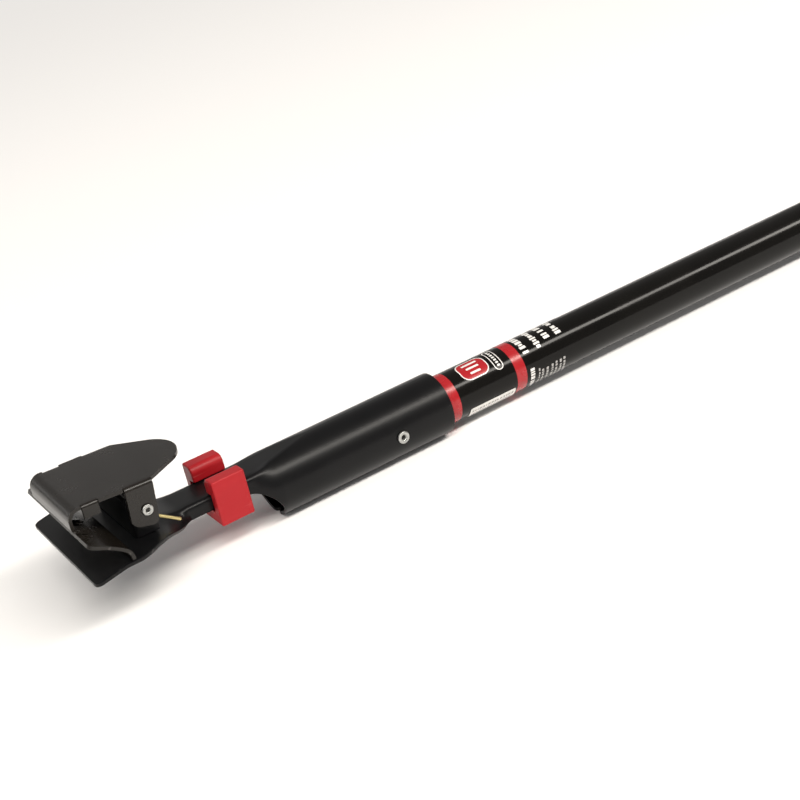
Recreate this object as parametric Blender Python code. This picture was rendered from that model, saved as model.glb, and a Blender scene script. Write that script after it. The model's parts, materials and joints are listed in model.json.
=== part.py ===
"""Clip-on dust mop handle: a stamped steel socket head with a sprung clip, on a vinyl-covered tube.

World frame: the origin is on the top face of the base plate, in the middle of the pocket that takes
the mop frame's wire. +X runs along the handle towards the hanging cap, +Y across it, +Z is up.
Every length is in metres.
"""

import math

import bmesh
import bpy
from mathutils import Matrix, Vector

MM = 0.001

# ---------------------------------------------------------------- driving dimensions
OVERALL_LENGTH = 1524 * MM        # base plate's front edge to the cap's tip, 60 in

TUBE_DIAMETER = 25.4 * MM         # over the vinyl
VINYL_WALL = 0.6 * MM
TUBE_WALL = 1.2 * MM
TOUCH_GAP = 0.3 * MM              # between faces that touch on the real object
RUN_GAP = 0.5 * MM                # between faces that slide past each other

FRAME_SHEET = 1.8 * MM            # stamping that is base plate, shank and socket in one
AXIS_BELOW_PLATE = 16.0 * MM      # tube axis under the base plate's top face
PLATE_WIDTH = 77.6 * MM
PLATE_FRONT_X = -23.5 * MM
PLATE_FLAT_FRONT_X = -8.5 * MM    # in front of it the plate slopes down as a lead-in
PLATE_FLAT_REAR_X = 13.5 * MM
PLATE_LIP_DROP = 2.7 * MM
PLATE_CORNER_RADIUS = 3.0 * MM
PLATE_TAPER_X = 6.0 * MM          # behind it the plate narrows to the shank
SEAT_FRONT_X = -3.5 * MM          # the wire's seat: flat strip between the jaw's nose and the bracket
SEAT_REAR_X = 2.8 * MM
SEAT_RISE = 0.1 * MM              # the seat is pressed up above the plate around it
SHANK_TOP_Z = -3.1 * MM
SHANK_FRONT_X = 33.0 * MM
SHANK_DROP_X = 30.0 * MM          # top has come down to the shank's height here
SHANK_FOLD_FRONT_X = 19.0 * MM    # the side walls fold down between here and SHANK_FOLD_REAR_X
SHANK_FOLD_REAR_X = 35.0 * MM
SHANK_WIDTH = 21.0 * MM
SHANK_DEPTH = 7.8 * MM
SHANK_CORNER_RADIUS = 1.6 * MM    # at mid sheet
BUSHING_WALL = 1.0 * MM
SOCKET_NOTCH_X = 60.5 * MM        # notch: the side walls sweep down from here into the socket
SOCKET_NOTCH_LENGTH = 17.0 * MM
NOTCH_TRIM = 0.1 * MM             # taken off the side walls' edges where the notch starts
SOCKET_LOBE_RADIUS = 3.0 * MM     # round corners of the sheet beside the bottom seam
SOCKET_FLAT_END = 0.8 * MM        # half width at which the flat ends
SOCKET_ROUND_X = 103.0 * MM       # top is fully round from here
SOCKET_MOUTH_X = 173.5 * MM
SOCKET_SEAM_GAP = 0.8 * MM
TUBE_INSERTION = 50.0 * MM
SOCKET_RIVET_FROM_MOUTH = 30.5 * MM
SOCKET_RIVET_RADIUS = 2.0 * MM
SOCKET_RIVET_HEAD = (3.9 * MM, 1.6 * MM)   # every head and tail is (radius, height)
SOCKET_RIVET_TAIL = (3.1 * MM, 1.0 * MM)
SOCKET_RIVET_BORE = 1.2 * MM

BRACKET_SHEET = 2.0 * MM
BRACKET_FRONT_X = 3.2 * MM
BRACKET_REAR_X = 14.2 * MM
BRACKET_TOP_Z = 17.6 * MM
BRACKET_CORNER_RADIUS = 5.0 * MM  # rear top corner of each side wall
BRACKET_EDGE = 0.5 * MM
BRACKET_RIVET_RADIUS = 1.6 * MM
BRACKET_RIVET_HEAD = (3.0 * MM, 1.2 * MM)
BRACKET_RIVET_TAIL = (2.8 * MM, 1.0 * MM)
BRACKET_RIVET_SPACING = 18.0 * MM
BRACKET_RIVET_SETBACK = 7.3 * MM  # behind the bracket's front face

PIVOT_X = 10.7 * MM
PIVOT_Z = 12.4 * MM
PIN_RADIUS = 2.0 * MM
PIN_HEAD = (3.3 * MM, 1.4 * MM)
PIN_TAIL = (2.6 * MM, 0.9 * MM)
PIN_BORE = 0.9 * MM

LEVER_SHEET = 1.6 * MM
LEVER_TOP_Z = 25.0 * MM           # top face above the kinks
LEVER_SLOPE = math.radians(2.5)   # falls towards the tail
LEVER_FRONT_X = -22.5 * MM
LEVER_FRONT_RADIUS = 5.5 * MM     # outside of the front fold
LEVER_FRONT_HALF_WIDTH = 23.8 * MM
LEVER_HALF_WIDTH = 25.2 * MM      # at the ears and kinks
LEVER_KINK_X = 14.2 * MM
LEVER_TIP_X = 38.6 * MM
LEVER_TIP_RADIUS = 16.5 * MM
EAR_FRONT_X = 3.8 * MM
EAR_REAR_X = 15.6 * MM            # the ear's bend runs on behind the kink
EAR_FRONT_BOTTOM_Z = 7.4 * MM
EAR_REAR_BOTTOM_Z = 3.2 * MM
EAR_CORNER = 3.0 * MM
EAR_RELIEF = 0.5 * MM
EAR_LEAN = -1.0 * MM              # the ear's lower edge stands ahead of its bend
EAR_BEND_RADIUS = 2.2 * MM        # at mid sheet
TAB_REAR_X = -8.0 * MM
TAB_DEPTH = 5.6 * MM
TAB_BEND_RADIUS = 1.4 * MM        # at mid sheet
TAB_SETBACK = 1.5 * MM            # behind the front fold
HEM_BEND_RADIUS = 2.2 * MM        # at mid sheet
HEM_LENGTH = 6.0 * MM

JAW_SHEET = 1.6 * MM
JAW_LIP_X = -21.4 * MM            # lip's front edge at mid sheet
JAW_LIP_Z = 14.4 * MM
JAW_LIP_SLOPE = math.radians(25)
JAW_LIP_LENGTH = 6.2 * MM
JAW_RAMP_RADIUS = 40.0 * MM
JAW_RAMP_SLOPE = math.radians(40)
JAW_NOSE_SLOPE = math.radians(85)
JAW_NOSE_RADIUS = 6.0 * MM
JAW_CORNER_RADIUS = 3.0 * MM
JAW_NOSE_END = 1.5 * MM           # straight end of the nose, over the plate
JAW_RIVET_RADIUS = 1.5 * MM
JAW_RIVET_HEAD = (2.6 * MM, 1.1 * MM)
JAW_RIVET_TAIL = (2.4 * MM, 0.9 * MM)
JAW_RIVET_SPACING = 28.0 * MM
JAW_RIVET_ALONG = 3.9 * MM        # from the lip, down the lip's slope

SPRING_WIRE_RADIUS = 0.8 * MM
SPRING_COIL_RADIUS = 3.6 * MM     # at the wire's centre
SPRING_TURNS = 3.5
SPRING_TURN_GAP = 0.15 * MM       # between neighbouring turns
SPRING_WALL_GAP = 0.8 * MM        # coil to the bracket's side wall
SPRING_BASE_LEG_SLOPE = math.radians(34)
SPRING_LEG_END_X = 26.0 * MM      # where the base leg's height above the plate is taken
SPRING_LOOP_SLOPE = math.radians(22)
SPRING_LOOP_REACH = 13.0 * MM     # how far behind the pivot the loop ends
SPRING_LOOP_CORNER = 3.0 * MM

LOCK_FRONT_X = 44.3 * MM
LOCK_LENGTH = 16.8 * MM
LOCK_WALL = 5.0 * MM              # outside the shank's side walls
LOCK_LIP = 4.0 * MM               # how far the blocks reach over the shank's top
LOCK_BLOCK_HEIGHT = 8.0 * MM
LOCK_WEB = 6.2 * MM               # under the shank's side walls
LOCK_INNER_RADIUS = 3.5 * MM
LOCK_EDGE = 0.8 * MM

LABEL_FROM_MOUTH = 0.4 * MM
LABEL_LENGTH = 82.0 * MM
LABEL_WALL = 0.25 * MM
STICKER_FROM_MOUTH = 12.0 * MM
STICKER_LENGTH = 28.3 * MM
STICKER_ANGLES = (math.radians(205), math.radians(250))   # from +Y over +Z, about the tube's axis
STICKER_WALL = 0.2 * MM

CAP_WALL = 1.8 * MM
CAP_CUP_LENGTH = 34.0 * MM
CAP_END_WALL = 3.0 * MM
CAP_TONGUE_LENGTH = 26.0 * MM
CAP_TONGUE_THICKNESS = 8.0 * MM
CAP_TONGUE_WIDTH = 22.0 * MM
CAP_TONGUE_EDGE = 1.2 * MM
CAP_TONGUE_ROOT = 1.5 * MM        # how far the tongue is let into the cup's end
CAP_MOUTH_CHAMFER = 0.8 * MM
CAP_END_RADIUS = 3.0 * MM
CAP_HOLE_RADIUS = 5.0 * MM

ROUND_SEGMENTS = 48
SMALL_SEGMENTS = 16

# ---------------------------------------------------------------- sizes that follow
AXIS_Z = -AXIS_BELOW_PLATE
TUBE_RADIUS = TUBE_DIAMETER / 2
CORE_RADIUS = TUBE_RADIUS - VINYL_WALL - TOUCH_GAP
BUSHING_BORE = TUBE_RADIUS + TOUCH_GAP
BUSHING_RADIUS = BUSHING_BORE + BUSHING_WALL
SOCKET_BORE = BUSHING_RADIUS + TOUCH_GAP
SOCKET_MID_RADIUS = SOCKET_BORE + FRAME_SHEET / 2
SOCKET_RADIUS = SOCKET_BORE + FRAME_SHEET
TUBE_START_X = SOCKET_MOUTH_X - TUBE_INSERTION
CAP_TIP_X = PLATE_FRONT_X + OVERALL_LENGTH
CAP_MOUTH_X = CAP_TIP_X - CAP_TONGUE_LENGTH - CAP_END_WALL - CAP_CUP_LENGTH
TUBE_END_X = CAP_TIP_X - CAP_TONGUE_LENGTH - CAP_END_WALL - TOUCH_GAP
SOCKET_RIVET_X = SOCKET_MOUTH_X - SOCKET_RIVET_FROM_MOUTH
EAR_INNER_Y = LEVER_HALF_WIDTH - LEVER_SHEET
BRACKET_HALF_WIDTH = EAR_INNER_Y - RUN_GAP
BRACKET_INNER_Y = BRACKET_HALF_WIDTH - BRACKET_SHEET
BRACKET_RIVET_X = BRACKET_FRONT_X + BRACKET_RIVET_SETBACK
RIVET_HOLE_GAP = TOUCH_GAP


# ---------------------------------------------------------------- scene helpers
def clear_scene():
    for obj in list(bpy.data.objects):
        bpy.data.objects.remove(obj, do_unlink=True)


def make_material(name, color, roughness, metallic=0.0):
    material = bpy.data.materials.new(name)
    material.use_nodes = True
    shader = material.node_tree.nodes["Principled BSDF"]
    shader.inputs["Base Color"].default_value = (*color, 1.0)
    shader.inputs["Roughness"].default_value = roughness
    shader.inputs["Metallic"].default_value = metallic
    material.diffuse_color = (*color, 1.0)
    return material


def finish_object(name, bm, material, smooth_angle=40):
    """Turn a bmesh into a named object with faces pointing out."""
    bmesh.ops.recalc_face_normals(bm, faces=bm.faces)
    mesh = bpy.data.meshes.new(name)
    bm.to_mesh(mesh)
    bm.free()
    obj = bpy.data.objects.new(name, mesh)
    bpy.context.scene.collection.objects.link(obj)
    if material:
        mesh.materials.append(material)
    mesh.shade_smooth()
    mesh.set_sharp_from_angle(angle=math.radians(smooth_angle))
    return obj


def set_origin(obj, point):
    """Move an object's origin to a world point and leave its shape where it is."""
    obj.data.transform(Matrix.Translation(-Vector(point)))
    obj.location = point


def cutter(name, bm):
    obj = finish_object(name, bm, None)
    obj.hide_render = True
    obj.display_type = "WIRE"
    return obj


def cut(obj, tool, operation="DIFFERENCE"):
    modifier = obj.modifiers.new(tool.name, "BOOLEAN")
    modifier.operation = operation
    modifier.solver = "EXACT"
    modifier.object = tool


def add_bevel(obj, width, segments=2):
    modifier = obj.modifiers.new("edges", "BEVEL")
    modifier.width = width
    modifier.segments = segments
    modifier.limit_method = "ANGLE"
    modifier.angle_limit = math.radians(40)


def add_sheet(obj, thickness):
    """Thicken a mid-sheet surface to a closed sheet."""
    modifier = obj.modifiers.new("sheet", "SOLIDIFY")
    modifier.thickness = thickness
    modifier.offset = 0.0
    modifier.use_even_offset = True


# ---------------------------------------------------------------- shape helpers
def turned(profile, axis, center, segments=ROUND_SEGMENTS, start=0.0):
    """Spin a closed profile of (radius, along) points about an axis through center."""
    bm = bmesh.new()
    axis = Vector(axis).normalized()
    side = axis.orthogonal().normalized()
    center = Vector(center)
    rings = []
    for index in range(segments):
        turn = Matrix.Rotation(start + 2 * math.pi * index / segments, 3, axis)
        out = turn @ side
        rings.append([None if radius == 0 else bm.verts.new(center + out * radius + axis * along)
                      for radius, along in profile])
    poles = {k: bm.verts.new(center + axis * along)
             for k, (radius, along) in enumerate(profile) if radius == 0}
    count = len(profile)
    for index in range(segments):
        ring, following = rings[index], rings[(index + 1) % segments]
        for k in range(count):
            k_next = (k + 1) % count
            if k in poles and k_next in poles:
                continue
            corners = [ring[k] or poles[k], ring[k_next] or poles[k_next],
                       following[k_next] or poles[k_next], following[k] or poles[k]]
            unique = list(dict.fromkeys(corners))
            bm.faces.new(unique)
    return bm


def ring_profile(inner, outer, start, end):
    return [(inner, start), (outer, start), (outer, end), (inner, end)]


def rod(radius, start, end, segments=SMALL_SEGMENTS):
    """A plain round bar between two points, used for holes."""
    start, end = Vector(start), Vector(end)
    length = (end - start).length
    return turned([(0, 0), (radius, 0), (radius, length), (0, length)], end - start, start, segments)


def rivet(radius, head, grip, tail, axis, center, hollow=0.0):
    """A rivet along axis: the grip runs from center, the head lies before it, the tail behind it."""
    head_radius, head_height = head
    tail_radius, tail_height = tail
    shoulder = head_radius * 0.62
    tail_end = grip + tail_height
    profile = [(0, -head_height), (shoulder, -head_height), (head_radius * 0.9, -head_height * 0.6),
               (head_radius, 0), (radius, 0), (radius, grip), (tail_radius, grip),
               (tail_radius, tail_end - tail_height * 0.4), (tail_radius * 0.75, tail_end)]
    if hollow:
        profile += [(hollow * 1.25, tail_end), (hollow, tail_end - tail_height * 0.5),
                    (hollow * 0.9, tail_end - tail_height * 1.6), (0, tail_end - tail_height * 1.6)]
    else:
        profile += [(0, tail_end)]
    return turned(profile, axis, center, SMALL_SEGMENTS)


def box(low, high):
    bm = bmesh.new()
    bmesh.ops.create_cube(bm, size=1.0)
    low, high = Vector(low), Vector(high)
    scale = Matrix.Diagonal((*(high - low), 1.0))
    bmesh.ops.transform(bm, matrix=Matrix.Translation((low + high) / 2) @ scale, verts=bm.verts)
    return bm


def prism(outline, start, end, axis):
    """Extrude a closed outline between two positions on an axis.

    The outline's points are (x, z) for axis "Y", (y, z) for axis "X" and (x, y) for axis "Z".
    """
    place = {"X": lambda p, t: (t, p[0], p[1]),
             "Y": lambda p, t: (p[0], t, p[1]),
             "Z": lambda p, t: (p[0], p[1], t)}[axis]
    bm = bmesh.new()
    first = [bm.verts.new(place(point, start)) for point in outline]
    second = [bm.verts.new(place(point, end)) for point in outline]
    bm.faces.new(first)
    bm.faces.new(list(reversed(second)))
    for k in range(len(outline)):
        k_next = (k + 1) % len(outline)
        bm.faces.new([first[k], first[k_next], second[k_next], second[k]])
    return bm


def arc_points(center, radius, start, end, steps):
    """Points on an arc, angles in radians, both ends included."""
    return [(center[0] + radius * math.cos(start + (end - start) * k / steps),
             center[1] + radius * math.sin(start + (end - start) * k / steps))
            for k in range(steps + 1)]


def follow(point, heading, pieces):
    """Walk a path of straight runs and bends: ("run", length) or ("bend", radius, end heading, steps)."""
    x, z = point
    path = [(x, z)]
    for piece in pieces:
        if piece[0] == "run":
            x += piece[1] * math.cos(heading)
            z += piece[1] * math.sin(heading)
            path.append((x, z))
            continue
        _, radius, goal, steps = piece
        turn = (goal - heading) / steps
        chord = abs(2 * radius * math.sin(turn / 2))
        for _ in range(steps):
            x += chord * math.cos(heading + turn / 2)
            z += chord * math.sin(heading + turn / 2)
            heading += turn
            path.append((x, z))
    return path


def grid_surface(rows):
    """Join rows of points into one surface of quads; returns the bmesh and its rows of vertices."""
    bm = bmesh.new()
    verts = [[bm.verts.new(point) for point in row] for row in rows]
    for upper, lower in zip(verts, verts[1:]):
        for k in range(len(upper) - 1):
            bm.faces.new([upper[k], upper[k + 1], lower[k + 1], lower[k]])
    return bm, verts


def corner_width(distance, radius):
    """How much a rounded corner takes off the half width at a distance from the edge."""
    short = radius - min(max(distance, 0.0), radius)
    return radius - math.sqrt(radius ** 2 - short ** 2)


def smooth(value):
    value = min(max(value, 0.0), 1.0)
    return value * value * (3 - 2 * value)


def tube_sweep(path, radius, sides=10):
    """A round wire along a path of points, with flat ends."""
    bm = bmesh.new()
    points = [Vector(point) for point in path]
    tangents = [(points[min(k + 1, len(points) - 1)] - points[max(k - 1, 0)]).normalized()
                for k in range(len(points))]
    normal = tangents[0].orthogonal().normalized()
    rings = []
    for point, tangent in zip(points, tangents):
        normal = (normal - tangent * normal.dot(tangent)).normalized()
        binormal = tangent.cross(normal)
        rings.append([bm.verts.new(point + radius * (math.cos(a) * normal + math.sin(a) * binormal))
                      for a in (2 * math.pi * k / sides for k in range(sides))])
    for ring, following in zip(rings, rings[1:]):
        for k in range(sides):
            k_next = (k + 1) % sides
            bm.faces.new([ring[k], ring[k_next], following[k_next], following[k]])
    bm.faces.new(list(reversed(rings[0])))
    bm.faces.new(rings[-1])
    return bm


# ---------------------------------------------------------------- socket frame
def ramp(x, start, end):
    return smooth((x - start) / (end - start))


def plate_top(x):
    """Height of the stamping's top face on its centre line, ahead of the socket."""
    if x < PLATE_FLAT_FRONT_X:
        share = (PLATE_FLAT_FRONT_X - x) / (PLATE_FLAT_FRONT_X - PLATE_FRONT_X)
        return -SEAT_RISE - (PLATE_LIP_DROP - SEAT_RISE) * share
    if SEAT_FRONT_X <= x <= SEAT_REAR_X:
        return 0.0
    return -SEAT_RISE + (SHANK_TOP_Z + SEAT_RISE) * ramp(x, PLATE_FLAT_REAR_X, SHANK_DROP_X)


def side_fold(x):
    """Angle by which the sides are folded down from the plate."""
    return math.pi / 2 * ramp(x, SHANK_FOLD_FRONT_X, SHANK_FOLD_REAR_X)


def socket_flat(x):
    """Half width of the flat on top, at mid sheet: the shank's, then fading out over the socket."""
    half = SHANK_WIDTH / 2 - FRAME_SHEET / 2
    if x <= SOCKET_NOTCH_X:
        return half
    share = min((x - SOCKET_NOTCH_X) / (SOCKET_ROUND_X - SOCKET_NOTCH_X), 1.0)
    return max(half * (1 - share ** 1.6), SOCKET_FLAT_END)


def side_length(x):
    """Length of sheet on each side of the flat, measured round the section at mid sheet."""
    shank_side = SHANK_DEPTH - FRAME_SHEET / 2
    if x < SHANK_FOLD_REAR_X:
        corner = corner_width(x - PLATE_FRONT_X, PLATE_CORNER_RADIUS)
        plate_side = (PLATE_WIDTH - SHANK_WIDTH + FRAME_SHEET) / 2 - corner
        share = min(max((x - PLATE_TAPER_X) / (SHANK_FRONT_X - PLATE_TAPER_X), 0.0), 1.0)
        fold = side_fold(x)
        tapered = plate_side + (shank_side - plate_side) * share
        return min(tapered, shank_side / math.sin(fold)) if fold > 0 else tapered
    if x < SOCKET_NOTCH_X:
        return shank_side
    full = SOCKET_MID_RADIUS * (math.pi - math.asin(socket_flat(x) / SOCKET_MID_RADIUS)) - SOCKET_SEAM_GAP / 2
    return full - corner_width(x - SOCKET_NOTCH_X - SOCKET_NOTCH_LENGTH, SOCKET_LOBE_RADIUS)


def frame_section(x, side_steps=12):
    """Half section of the stamping at x as (y, z) points at mid sheet, from the middle outwards."""
    flat = socket_flat(x)
    half = FRAME_SHEET / 2
    rounded = ramp(x, SOCKET_NOTCH_X - 1 * MM, SOCKET_NOTCH_X + SOCKET_NOTCH_LENGTH)
    chord = AXIS_Z + math.sqrt(SOCKET_MID_RADIUS ** 2 - flat ** 2)
    top = (plate_top(x) - half) * (1 - rounded) + chord * rounded
    fold = side_fold(x)
    radius = SHANK_CORNER_RADIUS
    inset = radius * fold / (math.pi / 2)
    corner = flat - inset * (1 - rounded)
    points = [(0.0, top), (corner * 0.5, top), (corner, top)]
    length = side_length(x)
    flat_angle = math.asin(flat / SOCKET_MID_RADIUS)
    bend_steps = 3
    bend_length = radius * math.pi / 2
    for k in range(1, side_steps + 1):
        if k <= bend_steps:
            along = bend_length * k / bend_steps
        else:
            along = bend_length + (length - bend_length) * (k - bend_steps) / (side_steps - bend_steps)
        bend = min(along / radius, fold)
        rest = along - radius * bend
        y_folded = flat - inset + radius * math.sin(bend) + rest * math.cos(fold)
        z_folded = top - radius * (1 - math.cos(bend)) - rest * math.sin(fold)
        angle = flat_angle + along / SOCKET_MID_RADIUS
        y_round = SOCKET_MID_RADIUS * math.sin(angle)
        z_round = AXIS_Z + SOCKET_MID_RADIUS * math.cos(angle)
        points.append((y_folded + (y_round - y_folded) * rounded,
                       z_folded + (z_round - z_folded) * rounded))
    return points


def thick_outline(path, thickness):
    """Closed outline of a sheet whose mid line is an open path in a plane."""
    outer, inner = [], []
    for k, (u, v) in enumerate(path):
        before = path[max(k - 1, 0)]
        after = path[min(k + 1, len(path) - 1)]
        first = Vector((u - before[0], v - before[1])).normalized() if k else None
        second = Vector((after[0] - u, after[1] - v)).normalized() if k < len(path) - 1 else None
        tangent = ((first or second) + (second or first)).normalized()
        stretch = 1 / max(tangent.dot(first or second), 0.5)
        offset_u = -tangent.y * stretch * thickness / 2
        offset_v = tangent.x * stretch * thickness / 2
        outer.append((u + offset_u, v + offset_v))
        inner.append((u - offset_u, v - offset_v))
    return outer + inner[::-1]


def loft(outlines):
    """Join closed outlines of 3-D points, all with the same count, into a closed solid."""
    bm = bmesh.new()
    rings = [[bm.verts.new(point) for point in outline] for outline in outlines]
    count = len(rings[0])
    for ring, following in zip(rings, rings[1:]):
        for k in range(count):
            k_next = (k + 1) % count
            bm.faces.new([ring[k], ring[k_next], following[k_next], following[k]])
    for ring in (rings[0], rings[-1]):
        for k in range(count // 2 - 1):
            bm.faces.new([ring[k], ring[k + 1], ring[count - 2 - k], ring[count - 1 - k]])
    return bm


def spread(start, stop, steps):
    """Positions after start, up to and including stop, evenly spaced."""
    return [start + (stop - start) * k / steps for k in range(1, steps + 1)]


def frame_stations():
    """Positions along X where the stamping's section is taken."""
    front = [PLATE_FRONT_X + PLATE_CORNER_RADIUS * share for share in (0, 0.1, 0.35, 0.65, 1)]
    flat = [PLATE_FLAT_FRONT_X, SEAT_FRONT_X, SEAT_REAR_X, PLATE_TAPER_X]
    neck = spread(PLATE_TAPER_X, SHANK_FOLD_REAR_X, 11)
    notch_end = SOCKET_NOTCH_X + SOCKET_NOTCH_LENGTH
    notch = [SOCKET_NOTCH_X - 4 * MM, SOCKET_NOTCH_X - 1 * MM]
    notch += spread(SOCKET_NOTCH_X - 0.5 * MM, notch_end, 6)
    lobe = [notch_end + SOCKET_LOBE_RADIUS * share for share in (0.06, 0.35, 1)]
    crease = spread(lobe[-1], SOCKET_ROUND_X, 4)
    rivet_zone = 5 * MM
    barrel = [SOCKET_RIVET_X - rivet_zone, SOCKET_RIVET_X + rivet_zone, SOCKET_MOUTH_X]
    return front + flat + neck + notch + lobe + crease + barrel


def notch_cutter():
    """Block with a swept top that clears the sheet under the shank's walls, ahead of the socket."""
    wall_bottom = SHANK_TOP_Z - SHANK_DEPTH + NOTCH_TRIM
    depth = wall_bottom - (AXIS_Z - SOCKET_RADIUS)
    steps = 14
    start = SOCKET_NOTCH_X - 3 * MM
    outline = [(start, AXIS_Z - 4 * SOCKET_RADIUS), (start, wall_bottom)]
    for k in range(steps + 1):
        angle = math.pi / 2 * k / steps
        outline.append((SOCKET_NOTCH_X + SOCKET_NOTCH_LENGTH * math.sin(angle),
                        wall_bottom - depth * (1 - math.cos(angle))))
    outline.append((SOCKET_NOTCH_X + SOCKET_NOTCH_LENGTH, AXIS_Z - 4 * SOCKET_RADIUS))
    return prism(outline, -2 * SOCKET_RADIUS, 2 * SOCKET_RADIUS, "Y")


def make_socket_frame(material):
    outlines = []
    for x in frame_stations():
        half = frame_section(x)
        path = [(-y, z) for y, z in reversed(half[1:])] + half
        outlines.append([(x, y, z) for y, z in thick_outline(path, FRAME_SHEET)])
    frame = finish_object("socket_frame", loft(outlines), material)
    hole = rod(SOCKET_RIVET_RADIUS + RIVET_HOLE_GAP,
               (SOCKET_RIVET_X, -2 * SOCKET_RADIUS, AXIS_Z), (SOCKET_RIVET_X, 2 * SOCKET_RADIUS, AXIS_Z))
    cut(frame, cutter("socket_frame_rivet_hole", hole))
    for side in (-1, 1):
        y = side * BRACKET_RIVET_SPACING / 2
        hole = rod(BRACKET_RIVET_RADIUS + RIVET_HOLE_GAP,
                   (BRACKET_RIVET_X, y, -2 * FRAME_SHEET), (BRACKET_RIVET_X, y, FRAME_SHEET))
        cut(frame, cutter(f"plate_rivet_hole_{side}", hole))
    cut(frame, cutter("socket_notch", notch_cutter()))


# ---------------------------------------------------------------- tube and what is on it
def make_tube_parts(materials):
    axis = (1, 0, 0)
    center = (0, 0, AXIS_Z)
    round_parts = [
        ("tube_core", ring_profile(CORE_RADIUS - TUBE_WALL, CORE_RADIUS, TUBE_START_X, TUBE_END_X), "tube"),
        ("vinyl_cover", ring_profile(TUBE_RADIUS - VINYL_WALL, TUBE_RADIUS, TUBE_START_X, TUBE_END_X),
         "vinyl"),
        ("adapter_bushing", ring_profile(BUSHING_BORE, BUSHING_RADIUS, TUBE_START_X, SOCKET_MOUTH_X),
         "bushing"),
    ]
    reach = 2 * SOCKET_RADIUS
    for name, profile, slot in round_parts:
        part = finish_object(name, turned(profile, axis, center), materials[slot])
        hole = rod(SOCKET_RIVET_RADIUS + RIVET_HOLE_GAP,
                   (SOCKET_RIVET_X, -reach, AXIS_Z), (SOCKET_RIVET_X, reach, AXIS_Z))
        cut(part, cutter(f"{name}_rivet_hole", hole))


def make_label(material):
    inner = TUBE_RADIUS + TOUCH_GAP
    start = SOCKET_MOUTH_X + LABEL_FROM_MOUTH
    profile = ring_profile(inner, inner + LABEL_WALL, start, start + LABEL_LENGTH)
    finish_object("label_wrap", turned(profile, (1, 0, 0), (0, 0, AXIS_Z)), material)


def make_sticker(material):
    radius = TUBE_RADIUS + TOUCH_GAP + LABEL_WALL + TOUCH_GAP + STICKER_WALL / 2
    first, last = STICKER_ANGLES
    start = SOCKET_MOUTH_X + STICKER_FROM_MOUTH
    steps = 8
    rows = []
    for x in (start, start + STICKER_LENGTH):
        arc = arc_points((0, AXIS_Z), radius, first, last, steps)
        rows.append([(x, y, z) for y, z in arc])
    bm, _ = grid_surface(rows)
    sticker = finish_object("paper_sticker", bm, material)
    add_sheet(sticker, STICKER_WALL)


def make_socket_rivet(material):
    start = SOCKET_RADIUS + TOUCH_GAP
    bm = rivet(SOCKET_RIVET_RADIUS, SOCKET_RIVET_HEAD, 2 * start, SOCKET_RIVET_TAIL, (0, -1, 0),
               (SOCKET_RIVET_X, start, AXIS_Z), hollow=SOCKET_RIVET_BORE)
    finish_object("socket_rivet", bm, material)


def make_hanger_cap(material):
    bore = TUBE_RADIUS + TOUCH_GAP
    outer = bore + CAP_WALL
    base = CAP_MOUTH_X
    seat = CAP_CUP_LENGTH
    end = seat + CAP_END_WALL
    rounding = arc_points((outer - CAP_END_RADIUS, end - CAP_END_RADIUS), CAP_END_RADIUS, 0, math.pi / 2, 4)
    profile = [(bore, 0), (outer - CAP_MOUTH_CHAMFER, 0), (outer, CAP_MOUTH_CHAMFER), *rounding,
               (0, end), (0, seat), (bore, seat)]
    cap = finish_object("hanger_cap", turned(profile, (1, 0, 0), (base, 0, AXIS_Z)), material)
    half = CAP_TONGUE_WIDTH / 2
    tip_center = CAP_TIP_X - half
    root = base + end - CAP_TONGUE_ROOT
    outline = [(root, AXIS_Z - half), *arc_points((tip_center, AXIS_Z), half, -math.pi / 2, math.pi / 2, 16),
               (root, AXIS_Z + half)]
    tongue = cutter("hanger_tongue", prism(outline, -CAP_TONGUE_THICKNESS / 2, CAP_TONGUE_THICKNESS / 2, "Y"))
    add_bevel(tongue, CAP_TONGUE_EDGE)
    cut(cap, tongue, "UNION")
    hole = rod(CAP_HOLE_RADIUS, (tip_center, -CAP_TONGUE_THICKNESS, AXIS_Z),
               (tip_center, CAP_TONGUE_THICKNESS, AXIS_Z))
    cut(cap, cutter("hanger_hole", hole))


# ---------------------------------------------------------------- hinge bracket and pin
def make_bracket(material):
    floor = TOUCH_GAP
    corner = BRACKET_CORNER_RADIUS
    outline = [(BRACKET_FRONT_X, floor), (BRACKET_REAR_X, floor)]
    outline += arc_points((BRACKET_REAR_X - corner, BRACKET_TOP_Z - corner), corner, 0, math.pi / 2, 6)
    outline += [(BRACKET_FRONT_X, BRACKET_TOP_Z)]
    bracket = finish_object("hinge_bracket",
                            prism(outline, -BRACKET_HALF_WIDTH, BRACKET_HALF_WIDTH, "Y"), material)
    inner = box((BRACKET_FRONT_X + BRACKET_SHEET, -BRACKET_INNER_Y, floor + BRACKET_SHEET),
                (BRACKET_REAR_X + BRACKET_SHEET, BRACKET_INNER_Y, BRACKET_TOP_Z + BRACKET_SHEET))
    cut(bracket, cutter("bracket_inside", inner))
    bore = rod(PIN_RADIUS + TOUCH_GAP, (PIVOT_X, -2 * BRACKET_HALF_WIDTH, PIVOT_Z),
               (PIVOT_X, 2 * BRACKET_HALF_WIDTH, PIVOT_Z))
    cut(bracket, cutter("bracket_pin_bore", bore))
    for side in (-1, 1):
        y = side * BRACKET_RIVET_SPACING / 2
        hole = rod(BRACKET_RIVET_RADIUS + RIVET_HOLE_GAP,
                   (BRACKET_RIVET_X, y, -FRAME_SHEET), (BRACKET_RIVET_X, y, 2 * BRACKET_SHEET + floor))
        cut(bracket, cutter(f"bracket_rivet_hole_{side}", hole))
    add_bevel(bracket, BRACKET_EDGE, 1)


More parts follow.
